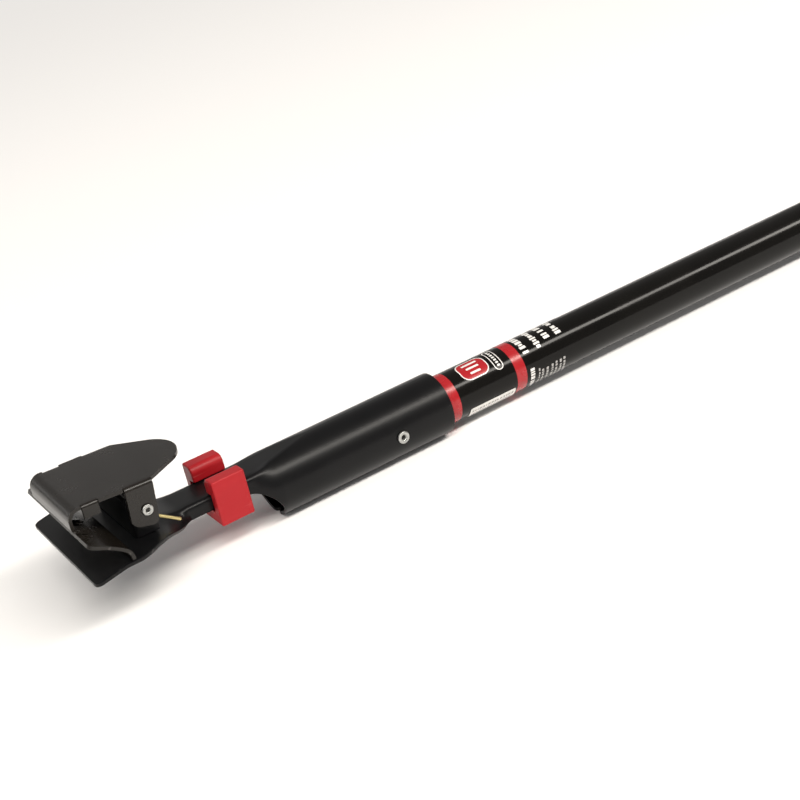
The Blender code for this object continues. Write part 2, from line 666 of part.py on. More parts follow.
def make_bracket_rivets(material):
    grip_top = TOUCH_GAP + BRACKET_SHEET + TOUCH_GAP
    grip = grip_top + FRAME_SHEET + TOUCH_GAP
    for name, side in (("near", -1), ("far", 1)):
        center = (BRACKET_RIVET_X, side * BRACKET_RIVET_SPACING / 2, grip_top)
        bm = rivet(BRACKET_RIVET_RADIUS, BRACKET_RIVET_HEAD, grip, BRACKET_RIVET_TAIL, (0, 0, -1), center)
        finish_object(f"bracket_rivet_{name}", bm, material)


def make_pivot_pin(material):
    grip_start = LEVER_HALF_WIDTH + TOUCH_GAP
    bm = rivet(PIN_RADIUS, PIN_HEAD, 2 * grip_start, PIN_TAIL, (0, -1, 0),
               (PIVOT_X, grip_start, PIVOT_Z), hollow=PIN_BORE)
    finish_object("pivot_pin", bm, material)


# ---------------------------------------------------------------- clip lever
def lever_top(x):
    """Height of the lever's top face."""
    return LEVER_TOP_Z - (x - LEVER_KINK_X) * math.tan(LEVER_SLOPE)


def lever_tail():
    """Centre of the tail's round tip, and the angle where the straight sides meet it."""
    center = LEVER_TIP_X - LEVER_TIP_RADIUS
    run = center - LEVER_KINK_X
    reach = math.hypot(run, LEVER_HALF_WIDTH)
    return center, math.pi - math.atan2(LEVER_HALF_WIDTH, run) - math.acos(LEVER_TIP_RADIUS / reach)


def lever_half_width(x):
    """Half width of the lever's plan: a slow taper forward of the kinks, straight sides behind them."""
    if x > LEVER_KINK_X:
        center, angle = lever_tail()
        touch_x = center + LEVER_TIP_RADIUS * math.cos(angle)
        touch_y = LEVER_TIP_RADIUS * math.sin(angle)
        return LEVER_HALF_WIDTH + (touch_y - LEVER_HALF_WIDTH) * (x - LEVER_KINK_X) / (touch_x - LEVER_KINK_X)
    share = (LEVER_KINK_X - x) / (LEVER_KINK_X - LEVER_FRONT_X)
    return LEVER_HALF_WIDTH + (LEVER_FRONT_HALF_WIDTH - LEVER_HALF_WIDTH) * share


def lever_path():
    """Mid-sheet side profile, from the hem under the front to the tail's tip."""
    half = LEVER_SHEET / 2
    fold_radius = LEVER_FRONT_RADIUS - half
    normal = (math.sin(JAW_LIP_SLOPE), math.cos(JAW_LIP_SLOPE))
    lift = JAW_SHEET / 2 + TOUCH_GAP + half
    face_x = LEVER_FRONT_X + half
    hem_start_x = face_x + HEM_BEND_RADIUS * (1 - math.sin(JAW_LIP_SLOPE))
    line_x = JAW_LIP_X + lift * normal[0]
    line_z = JAW_LIP_Z + lift * normal[1]
    hem_start_z = line_z - (hem_start_x - line_x) * math.tan(JAW_LIP_SLOPE)
    hem_end = (hem_start_x + HEM_LENGTH * math.cos(JAW_LIP_SLOPE),
               hem_start_z - HEM_LENGTH * math.sin(JAW_LIP_SLOPE))
    flange_low = hem_start_z + HEM_BEND_RADIUS * math.cos(JAW_LIP_SLOPE)
    fold_center_x = face_x + fold_radius
    flange_high = lever_top(fold_center_x) - half - fold_radius
    up = math.pi / 2
    path = follow(hem_end, math.pi - JAW_LIP_SLOPE,
                  [("run", HEM_LENGTH), ("bend", HEM_BEND_RADIUS, up, 5),
                   ("run", flange_high - flange_low), ("bend", fold_radius, -LEVER_SLOPE, 8)])
    return path


def lever_rows():
    """Rows of the lever's mid-sheet grid: (x, z, half width) from the hem's edge to the tip."""
    path = lever_path()
    rows = [(x, z, LEVER_FRONT_HALF_WIDTH) for x, z in path]
    half = LEVER_SHEET / 2
    ear = [EAR_FRONT_X + (EAR_REAR_X - EAR_FRONT_X) * share for share in (0, 0.25, 0.5, 0.75, 1)]
    for x in [path[-1][0] + TAB_SETBACK, TAB_REAR_X, *ear, EAR_REAR_X + EAR_RELIEF]:
        rows.append((x, lever_top(x) - half, lever_half_width(x)))
    center, angle = lever_tail()
    steps = 8
    blunt = math.radians(3)
    for k in range(steps + 1):
        turn = angle + (blunt - angle) * k / steps
        x = center + LEVER_TIP_RADIUS * math.cos(turn)
        rows.append((x, lever_top(x) - half, LEVER_TIP_RADIUS * math.sin(turn)))
    return rows


def bend_down(bm, edge, face_y, radius, bottoms):
    """Fold a row of edge vertices down: a round bend, then a straight wall to the bottoms."""
    side = 1 if face_y > 0 else -1
    inner_y = face_y - side * radius
    for vert in edge:
        vert.co.y = inner_y
    previous = edge
    bend_steps = 4
    for step in range(1, bend_steps + 3):
        angle = math.pi / 2 * min(step / bend_steps, 1.0)
        drop = radius * (1 - math.cos(angle))
        if step == bend_steps + 1:
            drop += radius / 4
        if step <= bend_steps + 1:
            line = [bm.verts.new((vert.co.x, inner_y + side * radius * math.sin(angle), vert.co.z - drop))
                    for vert in edge]
        else:
            line = [bm.verts.new((x, face_y, z)) for x, z in bottoms]
        for k in range(len(line) - 1):
            bm.faces.new([previous[k], previous[k + 1], line[k + 1], line[k]])
        previous = line


def ear_bottoms(positions):
    """Lower edge of an ear: a slant that falls to the rear, round at both corners."""
    start, stop = positions[0], positions[-1]
    bottoms = []
    for x in positions:
        share = (x - start) / (stop - start)
        round_off = EAR_CORNER * (2 * share - 1) ** 4
        bottoms.append((x + EAR_LEAN, EAR_FRONT_BOTTOM_Z + (EAR_REAR_BOTTOM_Z - EAR_FRONT_BOTTOM_Z) * share
                        + round_off))
    return bottoms


def make_lever(material):
    rows = lever_rows()
    tab_row = len(lever_path())
    ear_row = tab_row + 2
    ear_count = 5
    shares = (-1, -0.66, -0.33, 0, 0.33, 0.66, 1)
    bm, verts = grid_surface([[(x, half * share, z) for share in shares] for x, z, half in rows])
    for side, column in ((-1, 0), (1, -1)):
        tab = rows[tab_row:tab_row + 2]
        tab_y = side * (tab[0][2] - LEVER_SHEET / 2)
        bend_down(bm, [verts[tab_row + k][column] for k in range(2)], tab_y, TAB_BEND_RADIUS,
                  [(x, z - TAB_DEPTH) for x, z, _ in tab])
        ear = rows[ear_row:ear_row + ear_count]
        ear_y = side * (LEVER_HALF_WIDTH - LEVER_SHEET / 2)
        bend_down(bm, [verts[ear_row + k][column] for k in range(ear_count)], ear_y, EAR_BEND_RADIUS,
                  ear_bottoms([row[0] for row in ear]))
    lever = finish_object("clip_lever", bm, material)
    add_sheet(lever, LEVER_SHEET)
    bore = rod(PIN_RADIUS + TOUCH_GAP, (PIVOT_X, -2 * LEVER_HALF_WIDTH, PIVOT_Z),
               (PIVOT_X, 2 * LEVER_HALF_WIDTH, PIVOT_Z))
    cut(lever, cutter("lever_pin_bore", bore))
    cut_jaw_rivet_holes(lever, "lever")
    set_origin(lever, (PIVOT_X, 0, PIVOT_Z))


# ---------------------------------------------------------------- jaw
def jaw_normal():
    return Vector((math.sin(JAW_LIP_SLOPE), 0, math.cos(JAW_LIP_SLOPE)))


def jaw_rivet_point(side):
    """Where a jaw rivet's axis crosses the jaw's mid sheet."""
    return Vector((JAW_LIP_X + JAW_RIVET_ALONG * math.cos(JAW_LIP_SLOPE), side * JAW_RIVET_SPACING / 2,
                   JAW_LIP_Z - JAW_RIVET_ALONG * math.sin(JAW_LIP_SLOPE)))


def cut_jaw_rivet_holes(part, name):
    for side in (-1, 1):
        point = jaw_rivet_point(side)
        reach = 6 * MM * jaw_normal()
        hole = rod(JAW_RIVET_RADIUS + RIVET_HOLE_GAP, point - reach * 0.5, point + reach)
        cut(part, cutter(f"{name}_rivet_hole_{side}", hole))


def make_jaw(material):
    corner_runs = [("run", JAW_CORNER_RADIUS * share) for share in (0.1, 0.25, 0.65)]
    path = follow((JAW_LIP_X, JAW_LIP_Z), -JAW_LIP_SLOPE,
                  [*corner_runs, ("run", JAW_LIP_LENGTH - JAW_CORNER_RADIUS),
                   ("bend", JAW_RAMP_RADIUS, -JAW_RAMP_SLOPE, 4),
                   ("bend", JAW_NOSE_RADIUS, -JAW_NOSE_SLOPE, 5), ("run", JAW_NOSE_END)])
    shares = (-1, -0.6, -0.2, 0.2, 0.6, 1)
    rows = []
    travelled = 0.0
    last = path[0]
    for x, z in path:
        travelled += math.dist(last, (x, z))
        last = (x, z)
        half = PLATE_WIDTH / 2 - corner_width(travelled, JAW_CORNER_RADIUS)
        rows.append([(x, half * share, z) for share in shares])
    bm, _ = grid_surface(rows)
    jaw = finish_object("jaw_plate", bm, material)
    add_sheet(jaw, JAW_SHEET)
    cut_jaw_rivet_holes(jaw, "jaw")
    set_origin(jaw, (PIVOT_X, 0, PIVOT_Z))


def make_jaw_rivets(material):
    above = JAW_SHEET / 2 + TOUCH_GAP + LEVER_SHEET + TOUCH_GAP
    below = JAW_SHEET / 2 + TOUCH_GAP
    for name, side in (("near", -1), ("far", 1)):
        center = jaw_rivet_point(side) + jaw_normal() * above
        bm = rivet(JAW_RIVET_RADIUS, JAW_RIVET_HEAD, above + below, JAW_RIVET_TAIL, -jaw_normal(), center)
        obj = finish_object(f"jaw_rivet_{name}", bm, material)
        set_origin(obj, (PIVOT_X, 0, PIVOT_Z))


# ---------------------------------------------------------------- torsion spring
def coil_point(angle, y):
    return (PIVOT_X + SPRING_COIL_RADIUS * math.cos(angle), y,
            PIVOT_Z + SPRING_COIL_RADIUS * math.sin(angle))


def coil_span():
    """Outer and inner end of a coil along Y, at the wire's centre."""
    pitch = 2 * SPRING_WIRE_RADIUS + SPRING_TURN_GAP
    outer = BRACKET_INNER_Y - SPRING_WALL_GAP - SPRING_WIRE_RADIUS
    return outer, outer - pitch * SPRING_TURNS


def make_spring_coils(material):
    outer, inner = coil_span()
    leave = -math.pi / 2 - SPRING_BASE_LEG_SLOPE
    tangent_x, _, tangent_z = coil_point(leave, 0)
    rest_z = plate_top(SPRING_LEG_END_X) + SPRING_WIRE_RADIUS + TOUCH_GAP
    leg = (tangent_z - rest_z) / math.sin(SPRING_BASE_LEG_SLOPE)
    steps = int(SPRING_TURNS * 12)
    for name, side in (("near", -1), ("far", 1)):
        path = [(tangent_x + leg * share * math.cos(SPRING_BASE_LEG_SLOPE), side * outer,
                 tangent_z - leg * share * math.sin(SPRING_BASE_LEG_SLOPE)) for share in (1, 0.5)]
        for k in range(steps + 1):
            share = k / steps
            y = side * (outer + (inner - outer) * share)
            path.append(coil_point(leave - 2 * math.pi * SPRING_TURNS * share, y))
        finish_object(f"spring_coil_{name}", tube_sweep(path, SPRING_WIRE_RADIUS), material)


def make_spring_loop(material):
    _, inner = coil_span()
    arm_y = inner - 2 * SPRING_WIRE_RADIUS - TOUCH_GAP
    leave = math.pi / 2 + SPRING_LOOP_SLOPE
    corner = SPRING_LOOP_CORNER
    near = [coil_point(leave + math.pi * (1 - k / 8), -arm_y) for k in range(9)]
    start_x, _, start_z = near[-1]
    end_x = PIVOT_X + SPRING_LOOP_REACH
    end_z = start_z + (end_x - start_x) * math.tan(SPRING_LOOP_SLOPE)
    slant = (math.cos(SPRING_LOOP_SLOPE), math.sin(SPRING_LOOP_SLOPE))
    for k in range(1, 6):
        angle = math.pi / 2 * k / 5
        back = corner * (1 - math.sin(angle))
        near.append((end_x - back * slant[0], -arm_y + corner * (1 - math.cos(angle)),
                     end_z - back * slant[1]))
    path = near + [(x, -y, z) for x, y, z in reversed(near)]
    loop = finish_object("spring_loop", tube_sweep(path, SPRING_WIRE_RADIUS), material)
    set_origin(loop, (PIVOT_X, 0, PIVOT_Z))


# ---------------------------------------------------------------- slide lock
def make_lock(material):
    shank_half = SHANK_WIDTH / 2
    outer = shank_half + TOUCH_GAP + LOCK_WALL
    inner = shank_half - LOCK_LIP
    top = SHANK_TOP_Z + TOUCH_GAP + LOCK_BLOCK_HEIGHT
    ledge = SHANK_TOP_Z + TOUCH_GAP
    under = SHANK_TOP_Z - SHANK_DEPTH - TOUCH_GAP
    bottom = under - LOCK_WEB
    side = shank_half + TOUCH_GAP
    radius = LOCK_INNER_RADIUS
    right = [(outer, bottom), (outer, top)]
    right += arc_points((inner + radius, top - radius), radius, math.pi / 2, math.pi, 6)
    right += [(inner, ledge), (side, ledge), (side, under)]
    left = [(-y, z) for y, z in reversed(right)]
    bm = prism(right + left, LOCK_FRONT_X, LOCK_FRONT_X + LOCK_LENGTH, "X")
    lock = finish_object("lock_slider", bm, material)
    add_bevel(lock, LOCK_EDGE)


def main():
    clear_scene()
    materials = {
        "frame": make_material("satin_black_steel", (0.018, 0.018, 0.019), 0.42, 0.3),
        "lever": make_material("gloss_black_steel", (0.02, 0.019, 0.018), 0.3, 0.3),
        "tube": make_material("bare_aluminium", (0.72, 0.73, 0.74), 0.35, 1.0),
        "vinyl": make_material("gloss_black_vinyl", (0.012, 0.012, 0.012), 0.22),
        "bushing": make_material("black_bushing_plastic", (0.03, 0.03, 0.03), 0.5),
        "label": make_material("label_film", (0.45, 0.03, 0.04), 0.35),
        "sticker": make_material("white_paper", (0.8, 0.8, 0.78), 0.6),
        "rivet": make_material("plated_steel", (0.62, 0.62, 0.6), 0.28, 1.0),
        "spring": make_material("yellow_spring_wire", (0.62, 0.5, 0.22), 0.3, 1.0),
        "lock": make_material("red_plastic", (0.6, 0.02, 0.03), 0.4),
        "cap": make_material("black_cap_plastic", (0.025, 0.025, 0.025), 0.5),
    }
    make_socket_frame(materials["frame"])
    make_tube_parts(materials)
    make_label(materials["label"])
    make_sticker(materials["sticker"])
    make_socket_rivet(materials["rivet"])
    make_hanger_cap(materials["cap"])
    make_bracket(materials["frame"])
    make_bracket_rivets(materials["rivet"])
    make_pivot_pin(materials["rivet"])
    make_lever(materials["lever"])
    make_jaw(materials["lever"])
    make_jaw_rivets(materials["rivet"])
    make_spring_coils(materials["spring"])
    make_spring_loop(materials["spring"])
    make_lock(materials["lock"])


main()
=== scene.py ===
"""Looks of a clip-on dust mop handle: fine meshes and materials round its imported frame."""

import json
import math
import random

import bmesh
import bpy
from mathutils import Matrix, Vector


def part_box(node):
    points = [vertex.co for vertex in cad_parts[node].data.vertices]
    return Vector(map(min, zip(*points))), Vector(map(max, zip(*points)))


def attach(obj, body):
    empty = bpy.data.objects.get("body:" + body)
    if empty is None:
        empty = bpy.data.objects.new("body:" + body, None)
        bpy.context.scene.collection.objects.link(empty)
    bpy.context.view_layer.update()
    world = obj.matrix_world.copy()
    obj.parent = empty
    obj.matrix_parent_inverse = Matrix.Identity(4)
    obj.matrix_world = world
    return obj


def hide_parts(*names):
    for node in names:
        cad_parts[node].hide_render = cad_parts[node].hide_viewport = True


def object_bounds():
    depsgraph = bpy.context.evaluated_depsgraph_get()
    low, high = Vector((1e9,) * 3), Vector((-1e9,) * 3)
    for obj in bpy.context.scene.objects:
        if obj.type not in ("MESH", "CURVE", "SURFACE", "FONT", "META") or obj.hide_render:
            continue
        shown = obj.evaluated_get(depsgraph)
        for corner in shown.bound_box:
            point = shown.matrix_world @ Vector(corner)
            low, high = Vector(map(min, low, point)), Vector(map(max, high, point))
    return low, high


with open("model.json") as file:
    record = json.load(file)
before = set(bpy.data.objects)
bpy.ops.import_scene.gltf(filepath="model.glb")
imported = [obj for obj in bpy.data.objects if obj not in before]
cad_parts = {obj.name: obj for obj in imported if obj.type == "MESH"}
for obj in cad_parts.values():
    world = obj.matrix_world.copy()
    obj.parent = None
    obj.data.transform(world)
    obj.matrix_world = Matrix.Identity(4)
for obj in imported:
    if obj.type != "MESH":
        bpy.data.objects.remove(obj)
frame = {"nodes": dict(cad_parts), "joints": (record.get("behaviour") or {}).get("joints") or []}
cad_low, cad_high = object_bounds()

# ---- sizes, in metres
MM = 0.001

# taken from the frame
FRAME_LOW, FRAME_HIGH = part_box("socket_frame")
TUBE_LOW, TUBE_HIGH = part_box("vinyl_cover")
LEVER_LOW, LEVER_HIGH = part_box("clip_lever")
BRACKET_LOW, BRACKET_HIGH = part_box("hinge_bracket")
LOCK_LOW, LOCK_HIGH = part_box("lock_slider")
LABEL_LOW, LABEL_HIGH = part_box("label_wrap")
STICKER_LOW, STICKER_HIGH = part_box("paper_sticker")
BUSHING_LOW, BUSHING_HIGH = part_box("adapter_bushing")
CAP_LOW, CAP_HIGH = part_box("hanger_cap")
SOCKET_RIVET_LOW, SOCKET_RIVET_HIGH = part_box("socket_rivet")
HINGE = next(joint for joint in frame["joints"] if joint["name"] == "lever_hinge")
PIVOT_X, _, PIVOT_Z = HINGE["pos_m"]
AXIS_Z = (TUBE_LOW.z + TUBE_HIGH.z) / 2
TUBE_RADIUS = (TUBE_HIGH.y - TUBE_LOW.y) / 2
SOCKET_RADIUS = AXIS_Z - FRAME_LOW.z
SOCKET_MOUTH_X = FRAME_HIGH.x
PLATE_FRONT_X = FRAME_LOW.x
PLATE_WIDTH = FRAME_HIGH.y - FRAME_LOW.y

# stamping
FRAME_SHEET = 1.8 * MM
SOCKET_MID_RADIUS = SOCKET_RADIUS - FRAME_SHEET / 2
PLATE_FLAT_FRONT_X = -8.5 * MM
PLATE_FLAT_REAR_X = 13.5 * MM
PLATE_LIP_DROP = 2.7 * MM
PLATE_CORNER_RADIUS = 3.0 * MM
PLATE_TAPER_X = -2.0 * MM         # the plate's sides start to curve in here
SHANK_TOP_Z = -3.1 * MM
SHANK_FRONT_X = 33.0 * MM
SHANK_DROP_X = 30.0 * MM
NECK_DROP_X = 8.0 * MM            # the sides start to fold down here
SHANK_WIDTH = 21.0 * MM
SHANK_DEPTH = 7.8 * MM
SHANK_CORNER_RADIUS = 1.6 * MM
SOCKET_NOTCH_X = 60.5 * MM
SOCKET_NOTCH_LENGTH = 17.0 * MM
SOCKET_LOBE_RADIUS = 3.0 * MM
SOCKET_FLAT_END = 0.8 * MM
SOCKET_ROUND_X = 103.0 * MM
SOCKET_SEAM_GAP = 0.8 * MM
SHEET_RIM = 0.35 * MM             # rounding of sheet edges
SOCKET_RIVET_X = (SOCKET_RIVET_LOW.x + SOCKET_RIVET_HIGH.x) / 2

# clip lever
LEVER_SHEET = 1.6 * MM
LEVER_TOP_Z = 25.0 * MM
LEVER_SLOPE = math.radians(2.5)
LEVER_FRONT_X = LEVER_LOW.x
LEVER_FRONT_RADIUS = 5.5 * MM
LEVER_FRONT_HALF_WIDTH = 23.8 * MM
LEVER_HALF_WIDTH = LEVER_HIGH.y
LEVER_KINK_X = 14.2 * MM
LEVER_TIP_X = LEVER_HIGH.x
LEVER_TIP_RADIUS = 16.5 * MM
EAR_FRONT_X = 3.8 * MM
EAR_REAR_X = 16.6 * MM
EAR_BOTTOM_FRONT_X = 2.6 * MM
EAR_BOTTOM_REAR_X = 14.8 * MM
EAR_FRONT_BOTTOM_Z = 6.6 * MM
EAR_REAR_BOTTOM_Z = 3.6 * MM
EAR_CORNER = 2.6 * MM
EAR_BEND_RADIUS = 1.5 * MM
TAB_REAR_X = -8.0 * MM
TAB_DEPTH = 5.6 * MM
TAB_BEND_RADIUS = 1.0 * MM
TAB_SETBACK = 1.5 * MM
HEM_BEND_RADIUS = 2.2 * MM
HEM_LENGTH = 6.0 * MM
RELIEF = 0.4 * MM                 # slits beside the tabs' and ears' folds
LEVER_COLUMNS = 24
TIP_STEPS = 26
TIP_LAST_ANGLE = math.radians(1.2)
GAP_SETBACK = 0.5 * MM            # the edge between tab and ear lies behind their folds

# jaw
JAW_SHEET = 1.6 * MM
JAW_LIP_X = -21.4 * MM
JAW_LIP_Z = 14.4 * MM
JAW_LIP_SLOPE = math.radians(25)
JAW_LIP_LENGTH = 6.2 * MM
JAW_RAMP_RADIUS = 40.0 * MM
JAW_RAMP_SLOPE = math.radians(40)
JAW_NOSE_SLOPE = math.radians(85)
JAW_NOSE_RADIUS = 6.0 * MM
JAW_NOSE_END = 1.5 * MM
JAW_CORNER_RADIUS = 3.0 * MM
JAW_RIVET_SPACING = 28.0 * MM
JAW_RIVET_ALONG = 3.9 * MM
JAW_COLUMNS = 40

# bracket, springs, lock
BRACKET_SHEET = 2.0 * MM
BRACKET_BEND = 2.4 * MM           # outside radius of the bracket's bends
SPRING_WIRE_RADIUS = 0.8 * MM
SPRING_COIL_RADIUS = 3.6 * MM
SPRING_TURNS = 3.5
SPRING_WALL_GAP = 0.8 * MM
SPRING_BASE_LEG_SLOPE = math.radians(34)
SPRING_LEG_END_X = 26.0 * MM
SPRING_LOOP_SLOPE = math.radians(22)
SPRING_LOOP_REACH = 13.0 * MM
SPRING_LOOP_CORNER = 3.0 * MM
SPRING_TURN_GAP = 0.15 * MM
TOUCH_GAP = 0.3 * MM
LOCK_LIP = 4.0 * MM
LOCK_INNER_RADIUS = 3.5 * MM
LOCK_EDGE = 0.9 * MM
BRACKET_TOP_RADIUS = 5.0 * MM
BRACKET_WALL_EDGE = 0.25 * MM
BRACKET_FLOOR_EDGE = 0.2 * MM
PRESSING_EDGE = 0.3 * MM          # rounding of the lever's and the jaw's edges

# fasteners: (radius, height) of head and tail, radius of shank and hollow
SOCKET_RIVET_HEAD, SOCKET_RIVET_TAIL = (3.9 * MM, 1.6 * MM), (3.1 * MM, 1.0 * MM)
SOCKET_RIVET_SHANK, SOCKET_RIVET_HOLLOW = 2.0 * MM, 1.2 * MM
PIN_HEAD, PIN_TAIL = (3.3 * MM, 1.4 * MM), (2.6 * MM, 0.9 * MM)
PIN_SHANK, PIN_HOLLOW = 2.0 * MM, 0.9 * MM
BRACKET_RIVET_HEAD, BRACKET_RIVET_TAIL = (3.0 * MM, 1.2 * MM), (2.8 * MM, 1.0 * MM)
BRACKET_RIVET_SHANK = 1.6 * MM
JAW_RIVET_HEAD, JAW_RIVET_TAIL = (2.6 * MM, 1.1 * MM), (2.4 * MM, 0.9 * MM)
JAW_RIVET_SHANK = 1.5 * MM
TAIL_STRAIGHT = 0.45              # share of a tail's height before it rounds over
TAIL_ROUND = 0.55
# a hollow's profile: shares of its radius, and of the tail's height below the tail's end
HOLLOW_PROFILE = ((1.5, 0.05), (1.2, 0.3), (1.0, 0.8), (0.94, 1.8), (0.6, 2.1), (0, 2.15))

# label and sticker: places are from the label's front edge, angles from +Y over +Z
LABEL_LOW_LIFT, LABEL_TOP_LIFT = 0.04 * MM, 0.12 * MM
STICKER_LIFT = 0.35 * MM
STICKER_START, STICKER_END = math.radians(205), math.radians(250)
BAND_LENGTH = 6.2 * MM
BAND_DEPTH = 0.03 * MM
PRINT_LIFT = 0.04 * MM
RED_BANDS = (("red_band_socket", 0.2 * MM), ("red_band_middle", 41.2 * MM))
BADGE_ANGLE = math.radians(112)
EMBLEM_PLACE = 21.2 * MM
PILL_PLACE = 34.0 * MM
TITLE_ROWS = ((51.2, 139), (59.4, 140), (66.4, 127), (73.6, 129))    # mm, degrees at the row's start
TITLE_END = math.radians(48)
SMALL_ROWS = ((51.0, 176, 2.6, "white"), (55.2, 184, 1.0, "grey"), (57.4, 190, 1.3, "grey"),
              (60.4, 190, 1.3, "grey"), (63.6, 188, 1.3, "grey"), (66.2, 186, 1.3, "grey"),
              (69.0, 186, 1.3, "grey"), (71.4, 184, 1.3, "grey"))    # mm, degrees, height in mm, ink
SMALL_END = math.radians(238)

# hanging cap
CAP_SEAT = 34 * MM                # depth of the cup
CAP_CUP_END = 37 * MM
CAP_END_RADIUS = 3 * MM
CAP_TONGUE_HALF = 11 * MM
CAP_TONGUE_SHEET = 8 * MM
CAP_TONGUE_EDGE = 1.2 * MM
CAP_TONGUE_ROOT = 1.5 * MM        # how far the tongue runs into the cup
CAP_HOLE_RADIUS = 5 * MM
CAP_GROOVES, CAP_GROOVE_START, CAP_GROOVE_PITCH = 5, 7, 3.2    # number, then mm
CAP_GROOVE_DEPTH = 0.5 * MM


# ---- camera, light and floor
CAMERA_PLACE = Vector((-0.1457, -0.5710, 0.2969))
CAMERA_AZIMUTH = math.radians(27.72)
CAMERA_ELEVATION = math.radians(25.14)
CAMERA_ROLL = math.radians(-12.91)
CAMERA_LENS = 65.9
CAMERA_SENSOR = 36.0
WORLD_COLOR = (1.0, 0.97, 0.94, 1.0)
WORLD_STRENGTH = 0.33
# name, place, aimed at, width, height, watts, colour
AREA_LIGHTS = (
    ("strip_light", (1.2, -1.76, 2.43), (1.2, 0.0, AXIS_Z), 7.0, 0.60, 190, (1.0, 0.95, 0.88)),
    ("front_box", (-2.2, -1.4, 1.1), (0.0, 0.0, 0.0), 0.9, 0.9, 14, (1.0, 0.98, 0.96)),
    ("back_strip", (0.0, 4.6, 1.0), (0.0, 3.2, AXIS_Z), 9.0, 0.5, 16, (1.0, 0.98, 0.96)),
)
SPOT_PLACE = (0.9, 4.6, 4.0)
SPOT_WATTS = 260
SPOT_ANGLE = math.radians(110)
SPOT_SOFTNESS = 0.3
FLOOR_HALF_SIZE = 30.0
FLOOR_GAP = 0.2 * MM
FLOOR_COLOR = (0.93, 0.93, 0.93, 1.0)


def add_object(name, data):
    item = bpy.data.objects.new(name, data)
    bpy.context.scene.collection.objects.link(item)
    return item


def make_camera():
    data = bpy.data.cameras.new("photo_camera")
    data.sensor_width = CAMERA_SENSOR
    data.lens = CAMERA_LENS
    data.clip_start = 0.02
    data.clip_end = 50.0
    camera = add_object("photo_camera", data)
    looking = Vector((math.cos(CAMERA_ELEVATION) * math.sin(CAMERA_AZIMUTH),
                      math.cos(CAMERA_ELEVATION) * math.cos(CAMERA_AZIMUTH),
                      -math.sin(CAMERA_ELEVATION)))
    right = looking.cross(Vector((0, 0, 1))).normalized()
    up = right.cross(looking)
    rolled_right = math.cos(CAMERA_ROLL) * right + math.sin(CAMERA_ROLL) * up
    rolled_up = -math.sin(CAMERA_ROLL) * right + math.cos(CAMERA_ROLL) * up
    matrix = Matrix((rolled_right, rolled_up, -looking)).transposed().to_4x4()
    matrix.translation = CAMERA_PLACE
    camera.matrix_world = matrix
    bpy.context.scene.camera = camera


def area_light(name, place, target, size_x, size_y, watts, color):
    data = bpy.data.lights.new(name, "AREA")
    data.shape = "RECTANGLE"
    data.size = size_x
    data.size_y = size_y
    data.energy = watts
    data.color = color
    light = add_object(name, data)
    facing = (Vector(target) - Vector(place)).normalized()
    across = Vector((1, 0, 0))
    across = (across - facing * across.dot(facing)).normalized()
    matrix = Matrix((across, (-facing).cross(across), -facing)).transposed().to_4x4()
    matrix.translation = Vector(place)
    light.matrix_world = matrix


def make_stage():
    world = bpy.data.worlds.new("studio")
    world.use_nodes = True
    background = world.node_tree.nodes["Background"]
    background.inputs["Color"].default_value = WORLD_COLOR
    background.inputs["Strength"].default_value = WORLD_STRENGTH
    bpy.context.scene.world = world
    for light in AREA_LIGHTS:
        area_light(*light)
    spot = bpy.data.lights.new("far_spot", "SPOT")
    spot.energy = SPOT_WATTS
    spot.spot_size = SPOT_ANGLE
    spot.spot_blend = 1.0
    spot.shadow_soft_size = SPOT_SOFTNESS
    add_object("far_spot", spot).location = SPOT_PLACE
    mesh = bpy.data.meshes.new("studio_floor")
    size = FLOOR_HALF_SIZE
    mesh.from_pydata([(-size, -size, 0), (size, -size, 0), (size, size, 0), (-size, size, 0)], [],
                     [(0, 1, 2, 3)])
    floor = add_object("studio_floor", mesh)
    floor.location.z = cad_low.z - FLOOR_GAP
    material = bpy.data.materials.new("floor_paper")
    material.use_nodes = True
    shader = material.node_tree.nodes["Principled BSDF"]
    shader.inputs["Base Color"].default_value = FLOOR_COLOR
    shader.inputs["Roughness"].default_value = 0.9
    shader.inputs["Specular IOR Level"].default_value = 0.1
    mesh.materials.append(material)
    bpy.context.scene.view_settings.view_transform = "Standard"


# ---- material helpers
RED_TONES = ((0.31, 0.006, 0.010), (0.38, 0.009, 0.014))


